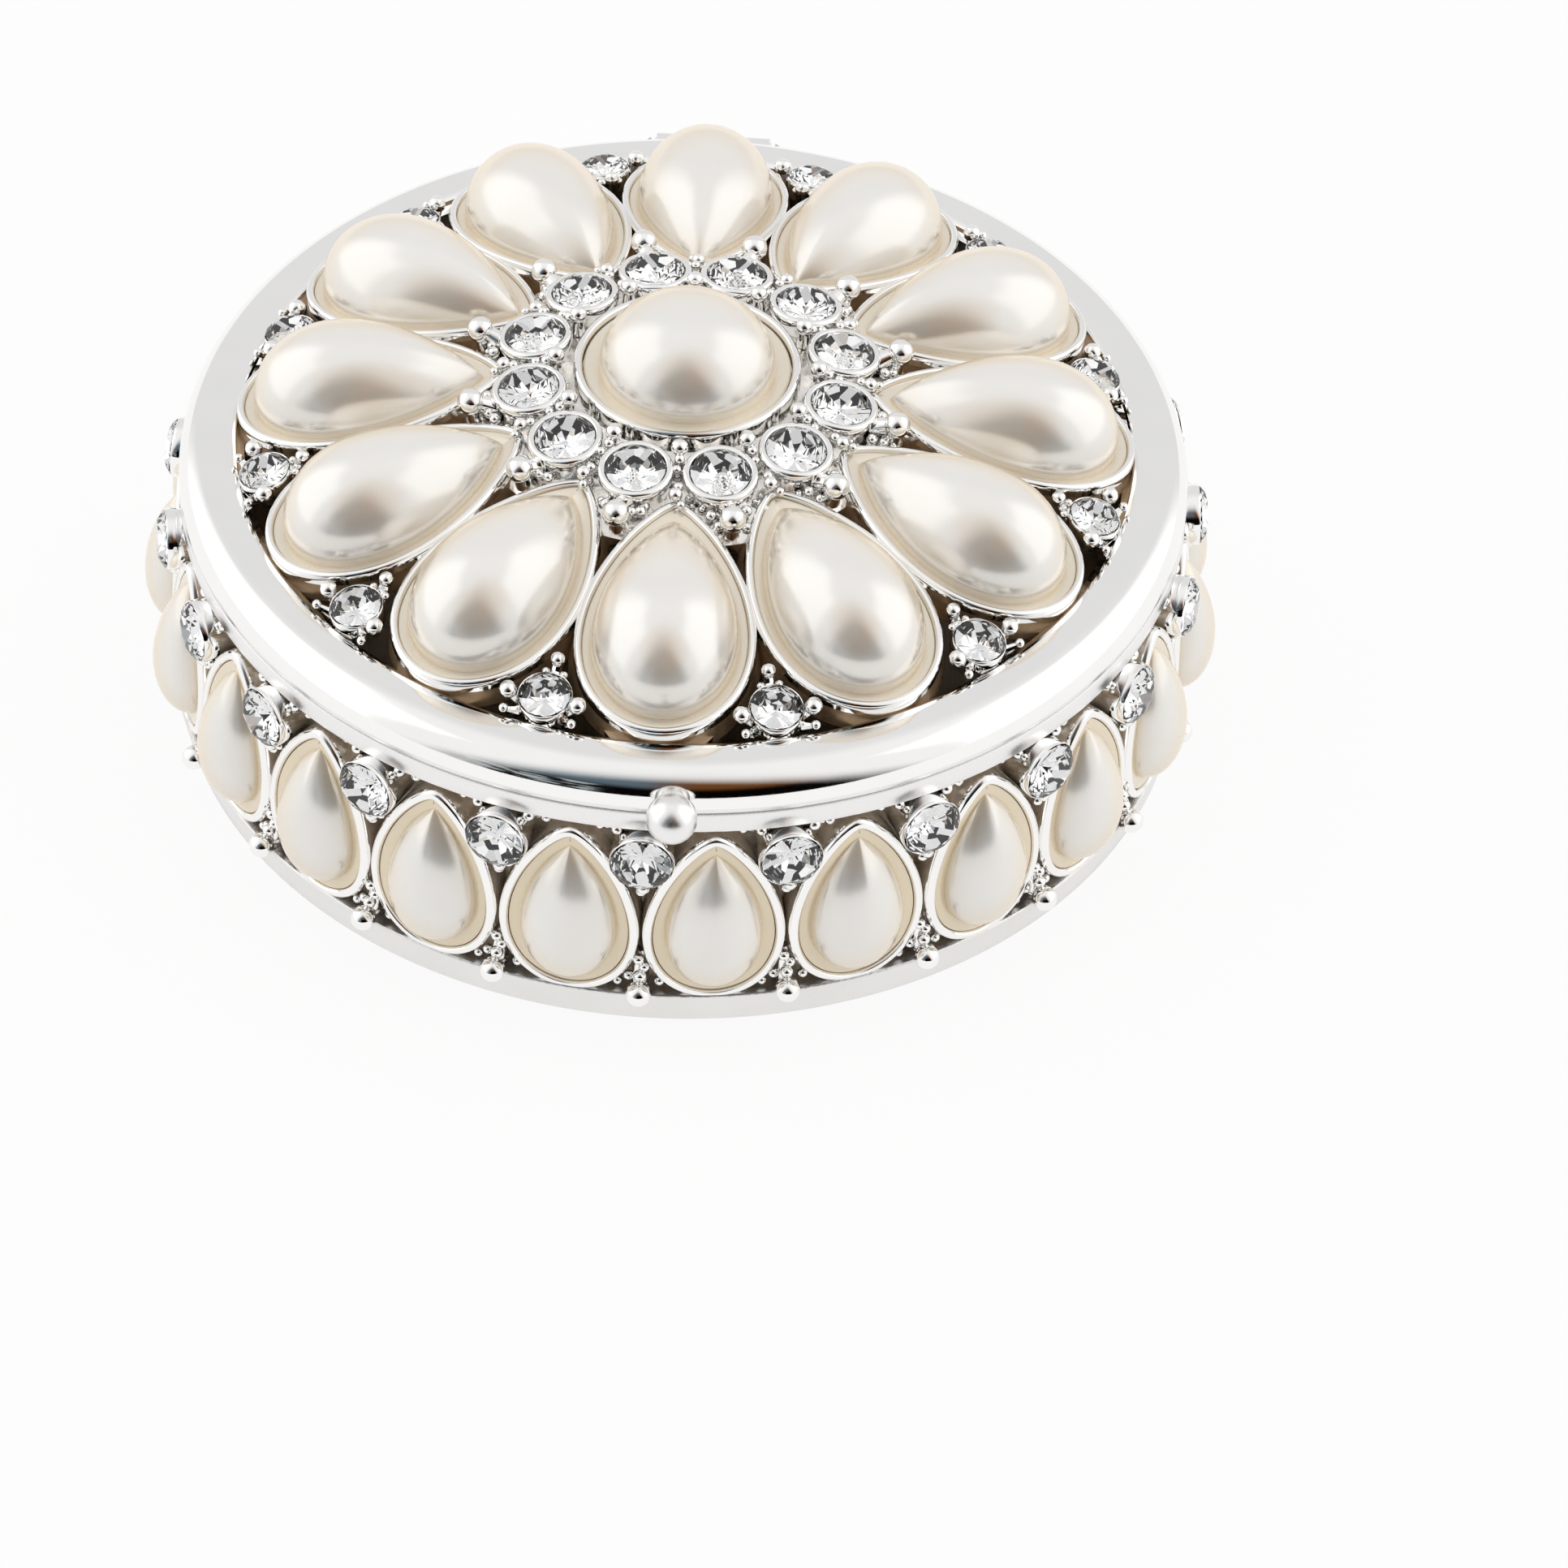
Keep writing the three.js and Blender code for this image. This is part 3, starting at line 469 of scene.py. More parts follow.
# Hub of the lid: the round bezel of the middle pearl, 12 small crystal cups on a sloping deck, and shot of
# silver solder and cast grains in the corners between them.
BETWEEN_DROPS = FRONT + LID_STEP / 2
RING_SEAT = (11.05, 27.197, math.radians(8))
OUTER_BEAD_SEAT = (15.05, 26.45, math.radians(10))
INNER_BEAD_SEAT = (9.0, 27.75, 0.0)
CENTRE_LIP = 27.797
HUB_STEPS = 144
DECK_RADIUS, DECK_TOP = 12.12, 25.3772

grained, tree, shader, place = blank("silver_plate_as_cast")
# Places that no buff reaches keep the mould's grain, about 0.45 mm, and its low lumps, 1.4 mm across. The
# plate there is warmer and duller.
grain = add(tree, "ShaderNodeTexNoise", {"Vector": place, "Scale": 1 / (0.45 * MM), "Detail": 4.0})
lump = add(tree, "ShaderNodeTexNoise", {"Vector": place, "Scale": 1 / (1.4 * MM), "Detail": 1.0})
relief = add(tree, "ShaderNodeMath", {
    0: lump.outputs[0], 1: 2.0, 2: grain.outputs[0],
}, operation="MULTIPLY_ADD")
bump = add(tree, "ShaderNodeBump", {"Height": relief.outputs[0], "Strength": 0.6, "Distance": 0.08 * MM})
tone = add(tree, "ShaderNodeMix", {
    0: lump.outputs[0], 6: paint("#D8D2C9"), 7: paint("#F5F3F0"),
}, data_type="RGBA")
gloss = add(tree, "ShaderNodeMapRange", {"Value": grain.outputs[0], "To Min": 0.08, "To Max": 0.3})
feed(tree, shader, {
    "Base Color": tone.outputs[2], "Roughness": gloss.outputs[0], "Normal": bump.outputs[0], "Metallic": 1.0,
})


def on_deck(places):
    """Points over the deck's sloping top, from pairs of a radius and a rise above it."""
    return [
        (radius, DECK_TOP - (radius - DECK_RADIUS) * math.tan(LID_SLOPE) + above) for radius, above in places
    ]


deck = on_deck([(6.6, -1.8), (15.3, -1.8), (15.45, -1.5), (15.4, -0.2), (15.1, 0.0), (6.6, 0.0)])
cup_floor = [(0, 23.786), (7.5, 23.786), (7.74, 23.86), (7.8, 24.1)]
centre_cup = [cup_floor[-1]]
centre_cup += [(radius, CENTRE_LIP - below) for radius, below in (
    (7.8, 0.28), (7.74, 0.1), (7.62, 0.0), (7.42, 0.0), (7.27, 0.1), (7.2, 0.28),
)]
centre_cup += [(7.2, 26.286), (0, 26.286)]
hub = make("lid_hub", [
    (turned(deck[:2], HUB_STEPS), 2), (turned(deck[1:] + deck[:1], HUB_STEPS), 1),
    (turned(cup_floor, HUB_STEPS), 2), (turned(centre_cup, HUB_STEPS), 0),
], [bright, grained, satin])
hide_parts("lid_casting")
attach(hub, "lid")

ring_cup = [(0, -3.2), (2.1, -3.2), (2.35, -2.6), (2.35, -1.2), (2.58, -0.6), (2.57, -0.2), (2.49, -0.04)]
ring_cup += [(2.36, 0.03), (2.2, 0.03), (2.1, -0.03), (2.06, -0.16), (2.06, -0.5), (0, -2.3)]
ring_cups = make("ring_cups", [(turned(ring_cup, 40), 0)], [bright])
set_round(ring_cups, LID_COUNT, *RING_SEAT, BETWEEN_DROPS, bright)
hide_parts("lid_casting")
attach(ring_cups, "lid")


def ball(radius, at=(0, 0, 0), steps=20):
    """Points and faces of a cast bead."""
    turns = [math.pi * ring / (steps // 2) for ring in range(steps // 2 + 1)]
    points, faces = turned([(radius * math.sin(turn), -radius * math.cos(turn)) for turn in turns], steps)
    return points + np.array(at), faces


def rod(start, end, first, last, steps=12):
    """Points and faces of a tapered rod between two places, with bluntly pointed ends."""
    start, end = Vector(start), Vector(end)
    way = end - start
    size = way.length
    points, faces = turned([(0, -first / 2), (first, 0), (last, size), (0, size + last / 2)], steps)
    turn = np.array(Vector((0, 0, 1)).rotation_difference(way).to_matrix())
    return points @ turn.T + np.array(start), faces


def shot(places):
    """Small cast beads, each given by its place and its radius."""
    return [(ball(size, (x, y, z), 12), 0) for x, y, z, size in places]


# Beads outside the ring cups, each on a stalk with small beads round it, and pin-head beads inside the ring
outer_bead = [(ball(0.92), 0), (rod((-1.5, 0, -1.0), (-0.4, 0, -0.2), 0.75, 0.5), 0)]
outer_bead += shot((
    (-1.0, 0.7, -0.8, 0.36), (-1.3, 1.25, -0.95, 0.42), (-1.25, -1.2, -0.95, 0.4), (-0.5, -0.8, -1.25, 0.38),
))
outer_bead += [(rod((-0.3, 0, -2.2), (-0.1, 0, -0.4), 0.8, 0.5), 0)]
outer_beads = make("hub_beads", outer_bead, [bright])
set_round(outer_beads, LID_COUNT, *OUTER_BEAD_SEAT, BETWEEN_DROPS, bright)
inner_bead = [(ball(0.6), 0), (rod((0, 0, -1.6), (0, 0, -0.2), 0.5, 0.34), 0)]
inner_bead += shot((
    (0.66, 0.05, -0.5, 0.38), (1.4, -0.1, -0.8, 0.34), (2.9, 0.1, -1.05, 0.36), (3.6, -0.05, -1.1, 0.5),
    (4.2, 0.35, -1.5, 0.34),
))
inner_beads = make("hub_pin_heads", inner_bead, [bright])
set_round(inner_beads, LID_COUNT, *INNER_BEAD_SEAT, FRONT, bright)
for piece in (outer_beads, inner_beads):
    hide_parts("lid_casting")
    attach(piece, "lid")

# Grains of solder, 0.4 to 0.9 mm across, spread over the deck by their own tree
GRAIN_RADIUS = 0.36
GRAINS_PER_AREA = 0.5
GRAIN_SEED = 4
scatter, given = new_tree("spread_grains", {
    "Per Area": "Float", "Grain": "Float", "Seed": "Int", "Finish": "Material",
})
spots = add(scatter, "GeometryNodeDistributePointsOnFaces", {
    "Mesh": given["Geometry"], "Density": given["Per Area"], "Seed": given["Seed"],
})
grain = add(scatter, "GeometryNodeMeshIcoSphere", {"Radius": given["Grain"], "Subdivisions": 2})
size = add(scatter, "FunctionNodeRandomValue", {2: 0.6, 3: 1.25, "Seed": given["Seed"]}, data_type="FLOAT")
copies = add(scatter, "GeometryNodeInstanceOnPoints", {
    "Points": spots.outputs[0], "Instance": grain.outputs[0], "Scale": size.outputs[1],
})
real = add(scatter, "GeometryNodeRealizeInstances", {0: copies.outputs[0]})
smooth = add(scatter, "GeometryNodeSetShadeSmooth", {0: real.outputs[0]})
coated = add(scatter, "GeometryNodeSetMaterial", {"Geometry": smooth.outputs[0], "Material": given["Finish"]})
add(scatter, "NodeGroupOutput", {0: coated.outputs[0]})

deck_top = on_deck([(9.6, 0.15), (11.0, 0.3), (15.2, 0.1)])
deck_grains = make("deck_grains", [(turned(deck_top, 48), 0)], [bright])
settle(deck_grains, scatter, {
    "Per Area": GRAINS_PER_AREA / MM ** 2, "Grain": GRAIN_RADIUS * MM, "Seed": GRAIN_SEED, "Finish": bright,
})
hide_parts("lid_casting")
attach(deck_grains, "lid")

# Half-drop pearls: moulded resin with a nacre lacquer, a flat flange and a full dome with a soft ridge at
# the tip. They are glued into their bezels. The lacquer is satin. Its flange and the foot of its dome are
# painted creamier as shade, and where it faces the viewer it is painted warm tan as a reflection.
nacre, tree, shader, place = blank("nacre_lacquer_painted_shade_and_reflection")
flange_shade_share = add(tree, "ShaderNodeAttribute", attribute_name="flange").outputs["Fac"]
# Cloudy patches of the lacquer about 3 mm across, and its fine sparkle, drawn at 0.15 mm so that it shows
cloud = add(tree, "ShaderNodeTexNoise", {"Vector": place, "Scale": 1 / (3 * MM), "Detail": 2.0})
sparkle = add(tree, "ShaderNodeTexNoise", {"Vector": place, "Scale": 1 / (0.15 * MM), "Detail": 2.0})
facing = add(tree, "ShaderNodeLayerWeight", {"Blend": 0.5}).outputs["Facing"]
skin = add(tree, "ShaderNodeMix", {
    0: cloud.outputs[0], 6: paint("#F7F4EF"), 7: paint("#FCFAF6"),
}, data_type="RGBA")
# Where the surface faces the viewer it is painted warm tan, a painted reflection of the dark, warm room.
# Seen aslant it is painted creamy, painted shade along the edges of the dome.
for start, end, most, painted_light_tone in ((0.09, 0.0, 0.4, "#DABC92"), (0.28, 0.95, 0.85, "#F0DBB9")):
    share = add(tree, "ShaderNodeMapRange", {
        "Value": facing, "From Min": start, "From Max": end, "To Max": most,
    }, interpolation_type="SMOOTHSTEP").outputs[0]
    skin = add(tree, "ShaderNodeMix", {0: share, 6: skin.outputs[2], 7: paint(painted_light_tone)}, data_type="RGBA")
# The flange and the foot of the dome are painted creamier, painted shade under the bezel's lip.
skin = add(tree, "ShaderNodeMix", {0: flange_shade_share, 6: skin.outputs[2], 7: paint("#F2E3C8")}, data_type="RGBA")
gloss = add(tree, "ShaderNodeMapRange", {"Value": sparkle.outputs[0], "To Min": 0.17, "To Max": 0.24})
bump = add(tree, "ShaderNodeBump", {"Height": sparkle.outputs[0], "Strength": 0.05, "Distance": 0.004 * MM})
feed(tree, shader, {
    "Base Color": skin.outputs[2], "Roughness": gloss.outputs[0], "Normal": bump.outputs[0],
    "Metallic": 0.4, "IOR": 1.6, "Coat Weight": 0.35, "Coat Roughness": 0.12,
})


def dome(length, width, height, base, ridge, shift=0.0, steps=30):
    """Half of a drop standing at a height, round across the middle and with a ridge towards the tip."""
    ridge_end = 1.9
    points = []
    for row in range(steps + 1):
        turn = math.pi * row / steps
        half = half_width(width, turn) if 0 < row < steps else 0.0
        top = height * half / (width / 2)
        power = 2 - ridge * max(0.0, 1 - turn / ridge_end)
        for column in range(steps + 1):
            across = math.cos(math.pi * column / steps)
            rise = math.sqrt(max(1 - abs(across) ** power, 0))
            points.append((shift - length / 2 * math.cos(turn), half * across, base + top * rise))
    corners = [row * (steps + 1) + column for row in range(steps) for column in range(steps)]
    faces = [(corner, corner + 1, corner + steps + 2, corner + steps + 1) for corner in corners]
    return np.array(points), faces


def mark_flange_shade(piece, top, height, most, dome_share=0.7):
    """Marks the painted shade on a pearl: full on its flange, fading up from the foot of the dome."""
    heights = np.array([vertex.co.z for vertex in piece.data.vertices]) / MM
    near = (1 - np.clip((heights - top) / height, 0, 1)) ** 3 * dome_share
    share = piece.data.attributes.new("flange", "FLOAT", "POINT")
    share.data.foreach_set("value", most * np.where(heights <= top, 1.0, near))


lid_flange = [(0.29, -1.2), (0.29, -0.42), (0.22, -0.32), (-0.1, -0.28), (-0.4, -0.4), (-1.2, -0.44)]
lid_dome = dome(length=16.1, width=9.86, height=5.2, base=-0.42, ridge=0.7, shift=0.1)
lid_pearl = [(swept(drop_edge(*LID_DROP), lid_flange), 0), (lid_dome, 0)]
lid_pearls = make("lid_pearls", lid_pearl, [nacre], crease=30)
mark_flange_shade(lid_pearls, -0.26, 4.6, 0.6)
set_round(lid_pearls, LID_COUNT, *LID_SEAT, FRONT, nacre)
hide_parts(*[f"lid_pearl_{index + 1:02d}" for index in range(LID_COUNT)])
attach(lid_pearls, "lid")

CENTRE_STEPS = 96
centre_flange = [(0, 26.6), (7.1, 26.6), (7.1, 27.36), (7.0, 27.46), (6.6, 27.47), (6.3, 27.42), (6.0, 27.4)]
centre_flange += [(0, 27.4)]
centre_dome = quarter((0, 27.3), (6.12, 5.25), 24) + [(0, 27.3)]
centre_pearl = make("middle_pearl", [
    (turned(centre_flange, CENTRE_STEPS), 0), (turned(centre_dome, CENTRE_STEPS), 0),
], [nacre], crease=30)
mark_flange_shade(centre_pearl, 27.5, 4.6, 0.6)
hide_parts("centre_pearl")
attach(centre_pearl, "lid")

# Crystals: machine-cut lead-glass chatons, a flat table over eight kites, with silver foil burnt on the
# back. The 12 of the ring are pressed into their cups. Smaller ones sit between the drops near the rim.
RIM_SEAT = (29.3, 22.45, math.radians(14))

glass, tree, shader, place = blank("lead_glass_cut_polished")
# Polished glass is plain, but for a trace of cloud from the tin wheel, about 0.5 mm across
haze = add(tree, "ShaderNodeTexNoise", {"Vector": place, "Scale": 1 / (0.5 * MM), "Detail": 1.0})
gloss = add(tree, "ShaderNodeMapRange", {"Value": haze.outputs[0], "To Min": 0.0, "To Max": 0.02})
feed(tree, shader, {
    "Base Color": WHITE, "Roughness": gloss.outputs[0], "Transmission Weight": 1.0, "IOR": 1.62,
})

foil, tree, shader, place = blank("silver_foil_on_glass")
# The foil is a mirror with faint streaks from burning it on, about 0.6 mm apart
streak = add(tree, "ShaderNodeTexNoise", {"Vector": place, "Scale": 1 / (0.6 * MM), "Detail": 2.0})
tone = add(tree, "ShaderNodeMix", {
    0: streak.outputs[0], 6: paint("#ECECEC"), 7: paint("#FAFAFA"),
}, data_type="RGBA")
feed(tree, shader, {"Base Color": tone.outputs[2], "Metallic": 1.0, "Roughness": 0.03})


def chaton(radius, depth=0.65, crown=0.22, table=0.64, girdle=0.04):
    """Points of a chaton with eight flat kites in front and behind, its foiled faces and its clear ones."""
    scallop = depth * (1 / math.cos(math.pi / 8) - 1)
    top = scallop + girdle
    middle = (1 + table) / 2
    middle_height = top + crown * (1 - middle * math.cos(math.pi / 8)) / (1 - table)
    points = []
    for count, size, heights, offset in (
        (16, 1.0, (scallop, 0.0), 0.0), (16, 1.0, (top, top), 0.0),
        (8, middle, (middle_height,), 0.5), (8, table, (top + crown,), 0.0),
    ):
        for k in range(count):
            turn = 2 * math.pi * (k + offset) / count
            points.append((size * math.cos(turn), size * math.sin(turn), heights[k % len(heights)]))
    points.append((0, 0, -depth))
    low, high, mid, table_edge, culet = 0, 16, 32, 40, 48
    foiled = [(low + (2 * k + 15) % 16, culet, low + (2 * k + 1) % 16, low + 2 * k) for k in range(8)]
    clear = [tuple(table_edge + k for k in range(8))] + strip(low, high, 16)
    for k in range(8):
        corner = high + 2 * k
        clear += [(table_edge + k, mid + k, table_edge + (k + 1) % 8)]
        clear += [(table_edge + k, mid + (k + 7) % 8, corner, mid + k)]
        clear += [(mid + k, corner, corner + 1), (mid + k, corner + 1, high + (2 * k + 2) % 16)]
    return np.array(points) * radius, foiled, clear


def crystals(name, radius, lift):
    """A crystal in its seat's frame, raised by lift, cut with flat facets and foiled behind."""
    points, foiled, clear = chaton(radius)
    points = points + np.array([0, 0, lift])
    piece = make(name, [((points, foiled), 1), ((points, clear), 0)], [glass, foil], crease=1)
    faces = piece.data.polygons
    faces.foreach_set("use_smooth", [False] * len(faces))
    mark_faces(piece, [face.material_index == 1 for face in faces])
    return piece


ring_crystals = crystals("ring_crystals", 2.06, -0.14)
set_round(ring_crystals, LID_COUNT, *RING_SEAT, BETWEEN_DROPS, glass, foil)
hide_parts(*[f"ring_crystal_{index + 1:02d}" for index in range(LID_COUNT)])
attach(ring_crystals, "lid")

rim_crystals = crystals("rim_crystals", 1.7, -0.1)
set_round(rim_crystals, LID_COUNT, *RIM_SEAT, BETWEEN_DROPS, glass, foil)
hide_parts("lid_casting")
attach(rim_crystals, "lid")


def prongs(places, steps, foot_share, depth, thickness_share, foot_radius=0.5, sunk_share=0.4):
    """Beads on prongs that rise from a depth under a collar, at a share of each bead's way out."""
    parts = []
    for x, y, z, size in places:
        foot = (x * foot_share, y * foot_share, -depth)
        parts.append((ball(size, (x, y, z), steps), 0))
        head = (x, y, z - size * sunk_share)
        parts.append((rod(foot, head, foot_radius, size * thickness_share, 8), 0))
    return parts


# Collars of the rim's crystals, cast with the lid: a thin ring, a prong with a ball towards the middle and
# at both sides, and two pin-head balls where the foot of the collar meets the rim
rim_collar = [(0, -2.2), (1.5, -2.2), (1.84, -1.0), (1.88, -0.35), (1.86, -0.1), (1.8, -0.02), (1.73, -0.06)]
rim_collar += [(1.7, -0.4), (0, -1.85)]
rim_setting = [(turned(rim_collar, 32), 0)]
rim_setting += prongs((
    (-2.75, 0.0, 0.15, 0.52), (-2.0, 0.62, -0.45, 0.3), (-2.0, -0.62, -0.45, 0.3),
    (0.35, 2.4, 0.1, 0.62), (0.35, -2.4, 0.1, 0.62), (1.55, 2.35, -0.3, 0.33), (1.55, -2.35, -0.3, 0.33),
), steps=14, foot_share=0.5, depth=1.5, thickness_share=0.6)
rim_settings = make("rim_settings", rim_setting, [bright])
set_round(rim_settings, LID_COUNT, *RIM_SEAT, BETWEEN_DROPS, bright)
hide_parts("lid_casting")
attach(rim_settings, "lid")

# Body shell: cast pewter ring with a pebbled foot band, a recessed wall behind the pearls, a satin top band
# and a flat rim. The inside is plated in a warm tone and wiped to a soft shine.
BODY_TOP = 18.54
BODY_INNER = 31.978
BAND_BOTTOM = 16.986
FOOT_INNER = 32.978
SHELL_STEPS = 276

foot, tree, shader, place = blank("silver_plate_satin_foot")
# The foot band is left as it comes from tumbling, with a fine pebble about 0.4 mm across, and duller
# patches of about 5 mm
pebble = add(tree, "ShaderNodeTexNoise", {"Vector": place, "Scale": 1 / (0.4 * MM), "Detail": 3.0})
patch = add(tree, "ShaderNodeTexNoise", {"Vector": place, "Scale": 1 / (5 * MM), "Detail": 2.0})
tone = add(tree, "ShaderNodeMix", {
    0: patch.outputs[0], 6: paint("#E5E2DF"), 7: paint("#F3F2F0"),
}, data_type="RGBA")
gloss = add(tree, "ShaderNodeMapRange", {"Value": patch.outputs[0], "To Min": 0.22, "To Max": 0.4})
bump = add(tree, "ShaderNodeBump", {"Height": pebble.outputs[0], "Strength": 0.6, "Distance": 0.06 * MM})
feed(tree, shader, {
    "Base Color": tone.outputs[2], "Roughness": gloss.outputs[0], "Normal": bump.outputs[0], "Metallic": 1.0,
})

lining, tree, shader, place = blank("champagne_plate_polished")
# Soft streaks from the tool, drawn out along the wall: 1 mm high and about 12 mm long
STREAK_SCALE = (1 / (12 * MM), 1 / (12 * MM), 1 / (1 * MM))
drawn = add(tree, "ShaderNodeMapping", {"Vector": place, "Scale": STREAK_SCALE})
streak = add(tree, "ShaderNodeTexNoise", {"Vector": drawn.outputs[0], "Scale": 1.0, "Detail": 3.0})
tone = add(tree, "ShaderNodeMix", {
    0: streak.outputs[0], 6: paint("#D2B48C"), 7: paint("#EBD6B6"),
}, data_type="RGBA")
gloss = add(tree, "ShaderNodeMapRange", {"Value": streak.outputs[0], "To Min": 0.34, "To Max": 0.5})
feed(tree, shader, {"Base Color": tone.outputs[2], "Roughness": gloss.outputs[0], "Metallic": 0.6})

# Behind the stones the casting is left raw as well. It is painted a warm tone, darker than the bands and
# paler than the lid's gaps: painted shade for the recess.
recess_wall_shade = shaded_raw_plate("cast_recess_painted_shade", "#BBA68E", "#F0E8DC")

foot_band = [(FOOT_INNER, 0.0), (35.4, 0.0), (35.56, 0.06), (35.62, 0.2), (35.84, 1.4), (36.04, 2.45)]
foot_band += [(36.04, 2.62), (35.94, 2.75), (34.2, 2.78)]
recess = [foot_band[-1], (34.16, 4.0), (33.9, 9.5), (33.6, 15.9), (33.8, 16.6), (34.3, 16.95)]
recess += [(34.82, BAND_BOTTOM)]
top_band = [recess[-1], (34.95, 17.04), (SEAM_RADIUS, 17.16), (SEAM_RADIUS, 18.42), (34.95, 18.5)]
top_band += [(34.87, BODY_TOP), (32.12, BODY_TOP), (32.0, 18.48)]
inside = [top_band[-1], (BODY_INNER, 18.38), (BODY_INNER, 1.9), (FOOT_INNER, 1.9), foot_band[0]]
# The recessed wall behind the pearls takes the painted shade of the recess.
body_shell = make("body_shell", [
    (turned(foot_band, SHELL_STEPS), 1), (turned(recess, SHELL_STEPS), 2),
    (turned(top_band, SHELL_STEPS), 0), (turned(inside, SHELL_STEPS), 3),
], [satin, foot, recess_wall_shade, lining])
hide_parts("body_casting")
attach(body_shell, "base")

# Bezels of the 23 side drops, cast with the shell, and their pearls, which stand tip up and lean a little.
# The pearls are like the lid's, with a lower dome, and a sharper ridge at the tip.
SIDE_COUNT = 23
SIDE_STEP = 2 * math.pi / SIDE_COUNT
SIDE_START = FRONT - math.radians(1)
BETWEEN_STONES = SIDE_START + SIDE_STEP / 2
SIDE_TIP = math.pi / 2 - math.radians(2.8)
SIDE_DROP = (12.3, 7.6)
SIDE_EDGE_STEPS = 76
SIDE_SEAT = (35.628, 9.4708, SIDE_TIP)

side_lip = [
    (0.3, -1.75), (0.3, -0.2), (0.33, -0.08), (0.42, 0.0), (0.64, 0.0), (0.8, -0.05), (0.9, -0.14),
    (0.96, -0.3), (0.98, -0.5), (0.96, -1.5), (0.9, -2.1),
]
side_edge = drop_edge(*SIDE_DROP, SIDE_EDGE_STEPS)
side_bezels = make("side_bezels", [(swept(side_edge, side_lip), 0)], [bright])
# The low walls of the side bezels take the painted shade of the recess.
mark_shaded_low_walls(side_bezels, -0.95)
set_round(side_bezels, SIDE_COUNT, *SIDE_SEAT, BETWEEN_STONES, bright, recess_wall_shade)
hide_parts("body_casting")
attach(side_bezels, "base")

side_flange = [(0.29, -1.4), (0.29, -0.3), (0.24, -0.2), (-0.1, -0.14), (-0.42, -0.2), (-1.0, -0.26)]
side_dome = dome(length=11.2, width=6.5, height=2.5, base=-0.27, ridge=1.0, steps=26)
side_pearls = make("side_pearls", [(swept(side_edge, side_flange), 0), (side_dome, 0)], [nacre], crease=30)
mark_flange_shade(side_pearls, -0.12, 2.0, 1.0)
set_round(side_pearls, SIDE_COUNT, *SIDE_SEAT, BETWEEN_STONES, nacre)
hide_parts(*[f"side_pearl_{index + 1:02d}" for index in range(SIDE_COUNT)])
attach(side_pearls, "base")

# Crystals of the side: foiled chatons in round collars just under the top band, with a beaded foot below.
# Between the round ends of two bezels a ball post stands over the foot band, on a beaded strut.
SIDE_STONE_SEAT = (36.15, 15.0, SIDE_TIP)
POST_SEAT = (36.6, 3.4, SIDE_TIP)
side_crystals = crystals("side_crystals", 2.0, -0.08)
set_round(side_crystals, SIDE_COUNT, *SIDE_STONE_SEAT, SIDE_START, glass, foil)
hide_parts("body_casting")
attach(side_crystals, "base")

side_collar = [(0, -2.9), (1.9, -2.9), (2.05, -1.6), (2.16, -0.5), (2.16, -0.12), (2.11, -0.02)]
side_collar += [(2.04, -0.06), (2.0, -0.2), (2.0, -0.4), (0, -2.1)]
side_setting = [(turned(side_collar, 36), 0)]
side_setting += prongs((
    (2.6, 0.1, -0.75, 0.48), (2.5, 0.62, -1.1, 0.36), (3.25, -0.05, -1.15, 0.4), (-1.7, 1.8, -1.5, 0.46),
    (-1.75, -1.75, -1.5, 0.42), (-1.6, 2.9, -1.9, 0.42), (-1.7, -2.9, -1.9, 0.36),
), steps=12, foot_share=0.8, depth=2.5, thickness_share=0.7)
side_settings = make("side_settings", side_setting, [bright])
set_round(side_settings, SIDE_COUNT, *SIDE_STONE_SEAT, SIDE_START, bright)
ball_post = [(ball(0.88), 0), (rod((0, 0, -2.2), (0, 0, -0.4), 0.75, 0.55), 0)]
ball_post += shot((
    (-1.1, 0.05, -0.6, 0.46), (-1.75, 0.3, -0.85, 0.38), (-2.3, -0.1, -0.95, 0.42), (-0.7, -0.75, -1.1, 0.38),
    (-0.2, 1.3, -1.3, 0.4), (0.0, -1.5, -1.3, 0.36),
))
ball_post += [(rod((-2.6, 0, -1.7), (-0.2, 0, -1.0), 0.5, 0.5), 0)]
ball_posts = make("ball_posts", ball_post, [bright])
set_round(ball_posts, SIDE_COUNT, *POST_SEAT, SIDE_START, bright)
for piece in (side_settings, ball_posts):
    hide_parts("body_casting")
    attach(piece, "base")

# Floor: a separate pewter disc let into the foot from below. Its upper face is brushed one way and warm.
# It stands free of the foot's wall by a fitting gap all round.
FLOOR_RADIUS = 32.678
FLOOR_TOP = 1.6
FLOOR_EDGE = 0.15

brushed, tree, shader, place = blank("champagne_plate_brushed")
# Brush marks run one way, about 0.4 mm apart and 15 mm long
BRUSH_SCALE = (1 / (0.4 * MM), 1 / (15 * MM), 1 / (2 * MM))
along = add(tree, "ShaderNodeMapping", {
    "Vector": place, "Rotation": (0, 0, math.radians(35)), "Scale": BRUSH_SCALE,
})
marks = add(tree, "ShaderNodeTexNoise", {"Vector": along.outputs[0], "Scale": 1.0, "Detail": 3.0})
tone = add(tree, "ShaderNodeMix", {
    0: marks.outputs[0], 6: paint("#C3B39D"), 7: paint("#E4D8C6"),
}, data_type="RGBA")
gloss = add(tree, "ShaderNodeMapRange", {"Value": marks.outputs[0], "To Min": 0.28, "To Max": 0.5})
bump = add(tree, "ShaderNodeBump", {"Height": marks.outputs[0], "Strength": 0.3, "Distance": 0.03 * MM})
feed(tree, shader, {
    "Base Color": tone.outputs[2], "Roughness": gloss.outputs[0], "Normal": bump.outputs[0], "Metallic": 0.6,
})

